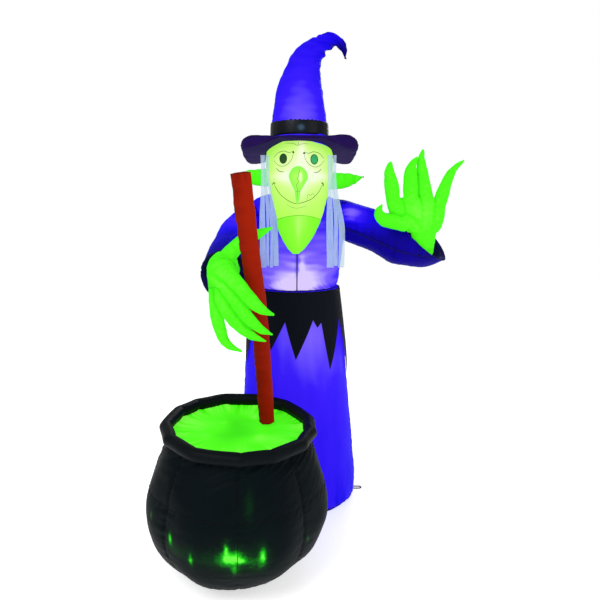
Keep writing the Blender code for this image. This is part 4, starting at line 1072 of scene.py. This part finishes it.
def print_patch(name, tree, outline, look, lift):
    """A printed patch: a fan of small faces that lies on the cloth."""
    outline = np.array(outline)
    middle = outline.mean(axis=0)
    rows = 5
    vertices, faces = [tuple(on_front(tree, *middle, lift)[0])], []
    for j in range(1, rows + 1):
        for x, z in middle + (outline - middle) * j / rows:
            vertices.append(tuple(on_front(tree, x, z, lift)[0]))
    count = len(outline)
    for i in range(count):
        n = (i + 1) % count
        faces.append((0, 1 + i, 1 + n))
        for j in range(rows - 1):
            a = 1 + j * count
            faces.append((a + i, a + count + i, a + count + n, a + n))
    mesh = bpy.data.meshes.new(name)
    mesh.from_pydata(vertices, [], faces)
    with editing(mesh) as build:
        bmesh.ops.recalc_face_normals(build, faces=build.faces)
        if build.faces[0].normal.y > 0:
            bmesh.ops.reverse_faces(build, faces=build.faces)
    mesh.shade_smooth()
    show(name, mesh, "upper", look)


def print_dots(name, tree, places, radius):
    for k, (x, z) in enumerate(places):
        outline = oval(x, z, radius, radius, 8)
        print_patch(f"{name}_{k}", tree, outline, "print_green", 0.0005)


EYES = {  # the centre of each eye, the way to its inner corner, and its iris
    "right": (-0.042, 1.353, 1, "print_iris_dark"), "left": (0.069, 1.350, -1, "print_iris_bright"),
}
SMILE = [(-0.078, 1.270), (-0.068, 1.247), (-0.043, 1.217), (0.000, 1.194), (0.050, 1.205), (0.080, 1.228),
         (0.101, 1.262)]
LOWER_LIP = [(-0.030, 1.190), (-0.014, 1.181), (0.004, 1.177), (0.022, 1.179), (0.043, 1.185)]
TOOTH = [(0.043, 1.206), (0.045, 1.222), (0.050, 1.226), (0.056, 1.222), (0.062, 1.228), (0.069, 1.227),
         (0.069, 1.216)]
BROW = [(-0.034, 1.409), (-0.008, 1.407), (0.012, 1.399), (0.012, 1.412)]
BROW_LEFT = [(0.012, 1.399), (0.030, 1.406), (0.050, 1.405)]
FRECKLES = [(-0.079, 1.279), (-0.074, 1.283), (-0.069, 1.280), (0.086, 1.281), (0.093, 1.277), (0.099, 1.280)]


def make_print(tree):
    """Eyes, brow, smile, tooth and lip, printed on the face."""
    for side, (x, z, inner, iris) in EYES.items():
        def beside(*places):
            return [(x + inner * across, z + up) for across, up in places]

        lid = beside((-0.036, 0.004), (-0.020, 0.021), (0.002, 0.027), (0.020, 0.021), (0.037, 0.026))
        print_line(f"{side}_eye_lid", tree, lid, 0.0018, "print_black", 0.0007)
        under = beside((0.037, 0.022), (0.031, -0.002), (0.014, -0.021), (-0.006, -0.027), (-0.024, -0.018),
                       (-0.036, -0.002))
        print_line(f"{side}_eye_under", tree, under, 0.0015, "print_black", 0.0007)
        corner = beside((0.031, 0.019), (0.037, 0.027), (0.041, 0.018))
        print_patch(f"{side}_eye_corner", tree, corner, "print_black", 0.0009)
        print_patch(f"{side}_iris_ring", tree, oval(x, z, 0.0140, 0.0185), "print_black", 0.0008)
        print_patch(f"{side}_iris", tree, oval(x, z, 0.0112, 0.0155), iris, 0.0011)
        bag = beside((-0.026, -0.033), (-0.014, -0.044), (0.002, -0.047))
        print_line(f"{side}_eye_bag", tree, bag, 0.0022, "print_black", 0.0005)
    print_line("smile", tree, SMILE, 0.0019, "print_black", 0.0006)
    corner = [(-0.084, 1.262), (-0.077, 1.269), (-0.071, 1.266)]
    print_line("smile_corner_right", tree, corner, 0.0030, "print_black")
    corner = [(0.095, 1.268), (0.101, 1.266), (0.103, 1.256)]
    print_line("smile_corner_left", tree, corner, 0.0042, "print_black")
    print_line("lower_lip", tree, LOWER_LIP, 0.0016, "print_green")
    print_line("tooth", tree, TOOTH, 0.0015, "print_green", steps=4)
    print_line("brow_crease", tree, BROW, 0.0016, "print_green", steps=5)
    print_line("brow_crease_left", tree, BROW_LEFT, 0.0013, "print_green", steps=5)
    print_dots("freckle", tree, FRECKLES, 0.0012)


NOSE = [
    (0.012, -0.150, 1.300, 0.0210), (0.012, -0.178, 1.296, 0.0300), (0.012, -0.196, 1.284, 0.0336),
    (0.011, -0.212, 1.262, 0.0228), (0.010, -0.226, 1.238, 0.0108), (0.009, -0.236, 1.212, 0.0072),
    (0.008, -0.240, 1.190, 0.0024),
]
NOSE_SEAM = [(0.013, 1.315), (0.017, 1.306), (0.011, 1.296), (0.014, 1.288), (0.009, 1.280), (0.012, 1.268),
             (0.006, 1.256), (0.010, 1.240), (0.008, 1.222), (0.009, 1.206)]
NOSE_TIP_SEAM = [(0.002, 1.241), (0.006, 1.234), (0.010, 1.237), (0.014, 1.233), (0.017, 1.241)]


def make_nose():
    values = smooth_values(NOSE, 9)
    piece, _, _ = chamber(
        "nose_cloth", path_rings(values[:, :3], values[:, 3]), "nose_cloth", "upper", "nose",
        around=110, lump=(0.022, 0.0014), cap_start=True, cap_end=True)
    tree = surface_tree(piece.data)
    print_line("nose_seam", tree, NOSE_SEAM, 0.0019, "print_green", 0.0004, 4)
    print_line("nose_tip_seam", tree, NOSE_TIP_SEAM, 0.0013, "print_green", 0.0004, 4)
    print_dots("nose_mark", tree, [(0.033, 1.276), (0.030, 1.269), (0.026, 1.263)], 0.0011)


EAR = [  # distance from the middle of the head, Y, height and radius, out to the tip
    (0.095, -0.035, 1.283, 0.034), (0.145, -0.030, 1.281, 0.034), (0.190, -0.025, 1.285, 0.027),
    (0.225, -0.022, 1.291, 0.0145), (0.250, -0.020, 1.298, 0.0030),
]


def make_ears():
    for side, sign, lift in (("left", 1, 0.0), ("right", -1, 0.012)):
        path = [(HEAD_X + sign * out, y, z + lift, radius) for out, y, z, radius in EAR]
        values = smooth_values(path, 14)
        rings = path_rings(values[:, :3], values[:, 3], side=(0, 0, 1), flatten=0.42)
        name = f"{side}_ear_cloth"
        _, points, angles = chamber(
            name, rings, "ear_cloth", "upper", f"{side}_ear", around=110,
            seams=[0.0, math.pi], lump=(0.035, 0.0020), cap_end=True)
        beads = {f"{side}_ear_seam_0": 0.0, f"{side}_ear_seam_1": math.pi}
        seam_beads(beads, points, angles, 0.0010, "upper", "seam_green")


HAIR = {  # x of the temple, then the hanging x and width of each ribbon
    "hair_right": (-0.108, [(-0.118, 0.022), (-0.099, 0.0105), (-0.086, 0.0105), (-0.071, 0.019)]),
    "hair_left": (0.133, [(0.128, 0.026), (0.150, 0.014), (0.170, 0.022)]),
}


RIBBON_TOP, RIBBON_FOOT, RIBBON_ROWS, RIBBON_COLUMNS, RIBBON_GATHER = 1.366, 0.962, 60, 7, 0.50


def make_hair():
    """Flat ribbons gathered at each temple under the hat, hanging in front of the shoulders."""
    for node, (temple, ribbons) in HAIR.items():
        gathered = [width * RIBBON_GATHER for _, width in ribbons]
        left = temple - sum(gathered) / 2
        for k, ((x, width), narrow) in enumerate(zip(ribbons, gathered)):
            start = left + narrow / 2
            left += narrow
            foot = RIBBON_FOOT + 0.006 * (k % 2)
            height = RIBBON_TOP + (foot - RIBBON_TOP) * np.linspace(0, 1, RIBBON_ROWS)
            open_out = np.clip((1.300 - height) / 0.21, 0, 1)
            open_out = open_out * open_out * (3 - 2 * open_out)
            middle = start + (x - start) * open_out + 0.0012 * np.sin(height * 21 + k * 2.1)
            half = (narrow + (width - narrow) * open_out) / 2
            depth = -0.254 + 0.0698 * height + 0.0009 * k + 0.0012 * np.sin(height * 17 + k)
            cross = np.linspace(-1, 1, RIBBON_COLUMNS)
            fold = 0.0011 * np.cos(cross * 2.6 + 0.8 * k) * (1.4 - open_out)[:, None]
            across = middle[:, None] + half[:, None] * cross
            points = np.stack(np.broadcast_arrays(across, depth[:, None] + fold, height[:, None]), axis=-1)
            name = f"{node}_ribbon_{k}"
            faces = []
            for j in range(RIBBON_ROWS - 1):
                for a in range(j * RIBBON_COLUMNS, (j + 1) * RIBBON_COLUMNS - 1):
                    faces.append((a, a + RIBBON_COLUMNS, a + RIBBON_COLUMNS + 1, a + 1))
            mesh = bpy.data.meshes.new(name)
            mesh.from_pydata([tuple(p) for p in points.reshape(-1, 3)], [], faces)
            mesh.shade_smooth()
            ribbon = show(name, mesh, "upper", "hair_satin")
        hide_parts(node)


# ---------------------------------------------------------------- hat
HAT = [  # centre and radius, from the head to the tip
    (0.017, -0.030, 1.398, 0.1230), (0.017, -0.031, 1.4205, 0.1170), (0.017, -0.030, 1.440, 0.1095),
    (0.016, -0.029, 1.495, 0.105), (0.0155, -0.027, 1.540, 0.0995),
    (0.0185, -0.024, 1.608, 0.0890), (0.028, -0.020, 1.670, 0.0730), (0.045, -0.015, 1.725, 0.0580),
    (0.078, -0.010, 1.768, 0.0430), (0.103, -0.005, 1.789, 0.0340), (0.132, 0.000, 1.799, 0.0300),
    (0.158, 0.000, 1.797, 0.0200), (0.174, 0.000, 1.783, 0.0185), (0.185, 0.000, 1.763, 0.0130),
    (0.190, 0.000, 1.733, 0.0022),
]


HAT_SEAMS = {"hat_seam_left": 1.48, "hat_seam_right": -1.48}


def crumpled(points, angles):
    """Pleats on the inside of the bend, and one deep pleat before the hook."""
    inside = np.clip(np.sin(angles), 0, 1)[None, :]
    _, height = arc_lengths(points)
    folds = 0.0040 * np.sin(height * 165 + 1.5 * np.cos(angles)[None, :])
    folds = folds * np.exp(-((height - 0.358) / 0.05) ** 2)
    pleat = -0.0060 * np.exp(-((height - 0.475) / 0.007) ** 2)
    return raised(points, folds * (0.25 + 0.75 * inside) + pleat)


def make_hat():
    values = smooth_values(HAT, 12 if FINE else 6)
    rings = path_rings(values[:, :3], values[:, 3], side=(0, -1, 0))
    rings[0, 3:9] = np.array([0, -1, 0, 1, 0, 0]) * values[0, 3]
    _, points, angles = chamber(
        "hat_cloth", rings, "hat_cloth", "upper", "hat_cone", around=220,
        seams=list(HAT_SEAMS.values()), lump=(0.075, 0.0030), cap_start=True, cap_end=True, reshape=crumpled)
    seam_beads(HAT_SEAMS, points, angles, 0.0017, "upper", "seam_navy", start=8)


BAND_X, BAND_Y, BAND_TOP = 0.0165, -0.0295, 1.493
BAND = [  # height and radius, up to the frill
    (1.441, 0.1080), (1.4425, 0.1112), (1.450, 0.1116), (1.466, 0.1112), (1.482, 0.1104), (1.4905, 0.1096),
]


def make_band():
    """Black satin band, its top edge gathered by the stitching."""
    angles = turns_of(300)
    rough = ripple_at(angles * 14, 0.0, 0.0, 1.0)
    frill = BAND_TOP + 0.0028 * np.sin(angles * 43) * (0.4 + 0.6 * rough) + 0.0018 * rough
    points = []
    for z, radius in [*BAND, (frill, 0.1090), (frill - 0.0015, 0.1062)]:
        x, y = BAND_X + radius * np.cos(angles), BAND_Y + radius * np.sin(angles)
        points.append(np.stack(np.broadcast_arrays(x, y, z), axis=-1))
    points = np.array(points)
    points = raised(points, 0.0005 * ripple_at(angles * 7, points[:, :, 2] * 12, 0.0, 3.0))
    band = show("band_cloth", grid_mesh("band_cloth", points), "upper", "band_satin")
    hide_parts("hat_band")


BRIM_ROWS, BRIM_Y, BRIM_Z, BRIM_TILT = 56, -0.022, 1.399, math.radians(-6.5)


def placed_brim(points, _):
    """Flattened and lifted over the forehead, and set at its tilt."""
    x, y = points[:, :, 0], points[:, :, 1]
    front = np.clip((-y - 0.030) / 0.080, 0, 1) * np.exp(-(x / 0.132) ** 8)
    rear = np.clip((y - 0.020) / 0.090, 0, 1) * np.exp(-(x / 0.150) ** 6)
    wing = (x / 0.200) ** 2
    points[:, :, 2] *= 1 - 0.80 * front + 0.55 * wing
    points[:, :, 2] += 0.009 * front + 0.018 * rear - 0.006 * wing
    return points @ np.array(Matrix.Rotation(BRIM_TILT, 3, "X")).T + np.array([HEAD_X, BRIM_Y, BRIM_Z])


def make_brim():
    """Puffed brim, bent down a little at its sides, with its edge seam."""
    rings = []
    for turn in np.linspace(-math.pi / 2 * 0.93, math.pi / 2 * 0.93, BRIM_ROWS):
        grow = 1 - 0.085 * (1 - math.cos(turn)) ** 1.2 - 0.30 * max(0.0, abs(math.sin(turn)) - 0.93)
        rings.append((0, 0, 0.0150 * math.sin(turn) - 0.001, 0.2160 * grow, 0, 0, 0, 0.185 * grow, 0))
    edge = BRIM_ROWS // 2
    _, points, _ = chamber(
        "brim_cloth", np.array(rings), "brim_cloth", "upper", "hat_brim", around=260,
        square=2.8, lump=(0.055, 0.0040), cap_start=True, cap_end=True, reshape=placed_brim,
        ends=[pleats(edge, 0.012, 0.0022, 0.016, 5.0)])
    line = row_line(points, edge, 0.0004)
    bead("brim_edge_seam", line, 0.0013, "upper", "seam_navy", closed=True)


# ---------------------------------------------------------------- cauldron
POT_X, POT_Y = -0.190, -0.510
POT = [  # height and radius
    (0.0035, 0.130), (0.020, 0.166), (0.060, 0.220), (0.120, 0.267), (0.190, 0.289), (0.260, 0.291),
    (0.330, 0.278), (0.400, 0.254), (0.4525, 0.229),
]
RIM_Z, RIM_RING, RIM_TUBE, RIM_SHIFT, RIM_TILT = 0.4810, 0.2270, 0.0215, 0.012, math.radians(2.5)


def leaning_rings(heights, radii, leans, shift):
    """Rings that lean with the rim by a share of its tilt."""
    slope = math.tan(RIM_TILT)
    rings = []
    for z, r, lean, move in zip(heights, radii, leans, shift):
        rings.append((POT_X + move, POT_Y, z, r, 0, -r * slope * lean, 0, r, r * slope * lean))
    return np.array(rings)


POT_SEAMS = [math.radians(a) for a in (-84, -40, 4, 48, 96, 140, 184, 228)]
POT_BELT = 0.313


def panelled(points, angles):
    """Flatter between its seams, as eight panels are."""
    flat = -0.0040 * np.cos(8 * (angles - POT_SEAMS[0]))
    return raised(points, flat * np.sin(np.linspace(0, math.pi, len(points)))[:, None])


def make_pot():
    heights, (radii,) = profile_tube([*POT, (0.468, 0.2275)], 0.0048)
    lean = (heights / RIM_Z) ** 2
    belt = int(np.argmin(np.abs(heights - POT_BELT)))
    rings = leaning_rings(heights, radii, lean, RIM_SHIFT * lean)
    _, points, angles = chamber(
        "pot_cloth", rings, "pot_cloth", "lower", "cauldron_shell", around=420,
        seams=POT_SEAMS, lump=(0.10, 0.0060), reshape=panelled,
        ends=[pleats(len(heights) - 1, 0.013, 0.0052, 0.055, 2.0), pleats(belt, 0.012, 0.0016, 0.014, 8.0),
              pleats(3, 0.018, 0.0040, 0.05, 5.0)])
    beads = {f"pot_seam_{k}": seam for k, seam in enumerate(POT_SEAMS)}
    seam_beads(beads, points, angles, 0.0009, "lower", "seam_black")
    line = row_line(points, belt, 0.0003)
    bead("pot_belt_seam", line, 0.0007, "lower", "seam_black", closed=True)


RIM_FACETS, INNER_SEAM, OUTER_SEAM = 13, math.radians(205), math.radians(300)


def make_rim():
    """The fat rolled rim, drawn in by the stitching into soft facets."""
    turns, across = turns_of(360 if FINE else 180), turns_of(44 if FINE else 24)
    uneven = 0.16 * np.sin(turns * 2 + 1.0) + 0.12 * np.sin(turns * 5 + 0.4)
    share = (turns * RIM_FACETS / (2 * math.pi) + 0.20 + uneven) % 1 - 0.5
    ring_radius = (RIM_RING - 0.0015) / np.cos(share * 2 * math.pi / RIM_FACETS)
    ring_radius = ring_radius + 0.0018 * ripple_at(turns * 1.3, 0.0, 0.0, 9.0)
    pinch = np.exp(-((1 - 2 * np.abs(share)) / 0.12) ** 2)
    radius = RIM_TUBE * (1.0 + 0.035 * ripple_at(turns * 2.2, 0.0, 0.0, 4.0)) - 0.0007 * pinch
    out = ring_radius[:, None] + radius[:, None] * np.cos(across)
    height = radius[:, None] * np.sin(across)
    points = np.stack([out * np.cos(turns)[:, None], out * np.sin(turns)[:, None], height], axis=-1)
    centre = np.stack([ring_radius * np.cos(turns), ring_radius * np.sin(turns), turns * 0], axis=-1)
    outward = points - centre[:, None, :]
    outward = outward / np.linalg.norm(outward, axis=2, keepdims=True)
    seams = sum(np.exp(-((np.cos(across - seam) - 1) / 0.10) ** 2) for seam in (INNER_SEAM, OUTER_SEAM))
    gathers = 0.0022 * ripple_at(turns[:, None] * 13.44, across * 0.7, 0.0, 7.0) * seams
    wrinkle = gathers + 0.0009 * ripple_at(turns[:, None] * 4.16, across * 1.3, 0.0, 1.0)
    points = points + outward * (wrinkle - 0.0020 * seams)[:, :, None]
    lean = np.array(Matrix.Rotation(RIM_TILT, 3, "Y") @ Matrix.Rotation(RIM_TILT, 3, "X"))
    points = points @ lean.T + np.array([POT_X + RIM_SHIFT, POT_Y, RIM_Z])
    points = points.transpose(1, 0, 2)[::-1]
    mesh = grid_mesh("rim_cloth", np.concatenate([points, points[:1]]))
    with editing(mesh) as build:
        bmesh.ops.remove_doubles(build, verts=build.verts, dist=0.00001)
        bmesh.ops.recalc_face_normals(build, faces=build.faces)
    mesh.shade_smooth()
    airtight("rim_cloth", mesh, "lower", "rim_cloth", "cauldron_rim")


BREW = [  # distance from the middle, height, and share of the rim's tilt
    (0.004, 0.4650, 0.0), (0.060, 0.4648, 0.0), (0.130, 0.4640, 0.2), (0.170, 0.4640, 0.55),
    (0.200, 0.4635, 0.85), (0.2240, 0.4700, 1.0),
]


def make_brew():
    """Green cloth over the mouth, puckered where it is sewn to the rim, swollen a little in the middle."""
    radii = np.linspace(BREW[-1][0], BREW[0][0], 72)
    heights, leans = columns_at(BREW, radii)
    rings = leaning_rings(heights, radii, leans, [RIM_SHIFT] * len(radii))
    points, angles = tube_points(rings, 320 if FINE else 160)
    edge = np.clip((radii - 0.105) / 0.11, 0, 1)[:, None] ** 1.5
    pucker = ripple_at(angles * 9.5, 0.0, radii[:, None] * 6, 3.0)
    fine = ripple_at(angles * 24, 0.0, radii[:, None] * 8, 5.0)
    puckers = edge * (0.0034 * pucker + 0.0024 * fine)
    swells = lumps(points, 0.07, 0.0022, 2.0) * (1 - edge)
    points[:, :, 2] += puckers + swells - 0.0012 * edge
    mesh = grid_mesh("brew_cloth", points, cap_end=True)
    # The puckers also darken and lighten the glow through the folds: painted shade in the puckers.
    mark_folds(mesh, puckers + 0.4 * swells)
    airtight("brew_cloth", mesh, "lower", "brew_cloth", "brew_panel")


def make_duct():
    """The short sleeve of cloth between the robe and the pot."""
    heading = np.array([POT_X, POT_Y, 0.0]) / math.hypot(POT_X, POT_Y)
    path = [heading * distance + np.array([0, 0, 0.125]) for distance in np.linspace(0.236, 0.268, 12)]
    rings = path_rings(path, 0.052 - 0.0018 * np.sin(np.linspace(0, math.pi, 12)))
    chamber("duct_cloth", rings, "sash_cloth", "lower", "air_duct", around=120,
            lump=(0.02, 0.0012), ends=[pleats(0, 0.008, 0.0016, 0.01, 1.0)])


LOOP_ROOT, LOOP_BEND, LOOP_Z = 0.2325, 0.269, 0.00165
LOOP_INNER, LOOP_OUTER = 0.0065, 0.0110


def make_loops():
    """Webbing loops for the ground stakes, each a band doubled back on itself."""
    middle = (LOOP_INNER + LOOP_OUTER) / 2
    bend = [math.pi * k / 48 for k in range(49)]
    arc = [(LOOP_BEND + middle * math.sin(turn), middle * math.cos(turn)) for turn in bend]
    line = eased([(LOOP_ROOT, middle), *arc, (LOOP_ROOT, -middle)], 2)
    for name, degrees in (("right", 180), ("left", 0), ("back", 60)):
        turn = Matrix.Rotation(math.radians(degrees), 3, "Z")
        places = np.array([turn @ Vector((x, y, LOOP_Z)) for x, y in line])
        normals = np.tile([0.0, 0.0, 1.0], (len(places), 1))
        mesh = strip_mesh(f"stake_webbing_{name}", places, normals, 0.0048, 0.0026)
        piece = show(f"stake_webbing_{name}", mesh, "lower", "strap_webbing")
        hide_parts(f"stake_loop_{name}")


# ---------------------------------------------------------------- carried-over hardware
def dress_hardware():
    finishes = {
        "moulded_black": ["blower_front_housing", "blower_grille", "blower_rear_housing", "cord_gland",
                          "mast_foot", "zip_tape", "head_lamp_housing", "skirt_lamp_housing",
                          "torso_lamp_housing"],
        "moulded_grey": ["blower_impeller", "drive_cover", "drive_housing", "drive_pinion", "output_gear"],
        "zinc_plate": ["arm_frame", "blower_motor", "mast_tube", "spindle", "stir_motor", "zip_slider"],
        "lamp_diffuser": ["cauldron_bulb_left", "cauldron_bulb_middle", "cauldron_bulb_right",
                          "head_lamp_lens", "skirt_lamp_lens", "torso_lamp_lens"],
        "wire_green": ["cauldron_lamp_lead", "lower_lamp_lead", "upper_lamp_lead"],
        "strap_webbing": ["blower_collar"],
        "ballast_canvas": ["ballast_bag"],
        "ground_cloth": ["witch_base_panel"],
        "ground_cloth_black": ["cauldron_base_panel"],
    }
    for look, nodes in finishes.items():
        for node in nodes:
            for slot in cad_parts[node].material_slots:
                slot.material = LOOKS[look]


# ---------------------------------------------------------------- camera, light and floor
CAMERA_PLACE, CAMERA_DROP, LENS, SENSOR = (0.018, -2.234, 1.173), math.radians(9.2), 33.6, 36.0
FLOOR_HALF_WIDTH = 12.0


def make_camera():
    data = bpy.data.cameras.new("camera")
    data.lens = LENS
    data.sensor_width = SENSOR
    camera = bpy.data.objects.new("camera", data)
    camera.location = CAMERA_PLACE
    camera.rotation_euler = (math.pi / 2 - CAMERA_DROP, 0, 0)
    bpy.context.scene.collection.objects.link(camera)
    bpy.context.scene.camera = camera


def area_light(name, place, aim, size, power):
    data = bpy.data.lights.new(name, "AREA")
    data.size = size
    data.energy = power
    light = bpy.data.objects.new(name, data)
    light.location = place
    light.rotation_euler = (Vector(aim) - Vector(place)).to_track_quat("-Z", "Y").to_euler()
    bpy.context.scene.collection.objects.link(light)


def make_studio():
    """White surroundings, a near-white floor, and three broad lamps."""
    world = bpy.data.worlds.new("studio")
    bpy.context.scene.world = world
    world.use_nodes = True
    nodes, links = world.node_tree.nodes, world.node_tree.links
    surround = nodes["Background"]
    surround.inputs["Color"].default_value = (1, 1, 1, 1)
    surround.inputs["Strength"].default_value = 0.45
    backdrop = nodes.new("ShaderNodeBackground")
    backdrop.inputs["Color"].default_value = (1, 1, 1, 1)
    path, mix = nodes.new("ShaderNodeLightPath"), nodes.new("ShaderNodeMixShader")
    links.new(path.outputs["Is Camera Ray"], mix.inputs["Fac"])
    links.new(surround.outputs[0], mix.inputs[1])
    links.new(backdrop.outputs[0], mix.inputs[2])
    links.new(mix.outputs[0], nodes["World Output"].inputs["Surface"])
    area_light("key", (-1.6, -2.6, 3.0), (0, -0.2, 0.9), 1.6, 55)
    area_light("fill", (2.2, -1.8, 1.8), (0, -0.2, 0.9), 1.8, 14)
    area_light("rear", (0.6, 2.4, 2.4), (0, 0, 0.9), 1.6, 35)
    mesh = bpy.data.meshes.new("floor")
    with editing(mesh) as build:
        bmesh.ops.create_grid(build, x_segments=1, y_segments=1, size=FLOOR_HALF_WIDTH)
    floor = bpy.data.objects.new("floor", mesh)
    look = Look("floor_paper", 0.9, 0.1)
    look.set("Base Color", look.tint(look.noise(3.0, 2.0), (0.90, 0.90, 0.90), (0.93, 0.93, 0.93)))
    look.set("Emission Color", (1, 1, 1, 1))
    look.set("Emission Strength", 0.60)
    mesh.materials.append(look.material)
    bpy.context.scene.collection.objects.link(floor)
    bpy.context.scene.view_settings.view_transform = "Standard"


# ---------------------------------------------------------------- putting it together
make_camera()
make_studio()
make_skirt()
make_sash()
make_torso()
make_sleeves()
make_hands()
make_stick()
make_print(make_face())
make_nose()
make_ears()
make_hair()
make_hat()
make_band()
make_brim()
make_pot()
make_rim()
make_brew()
make_duct()
make_loops()
dress_hardware()
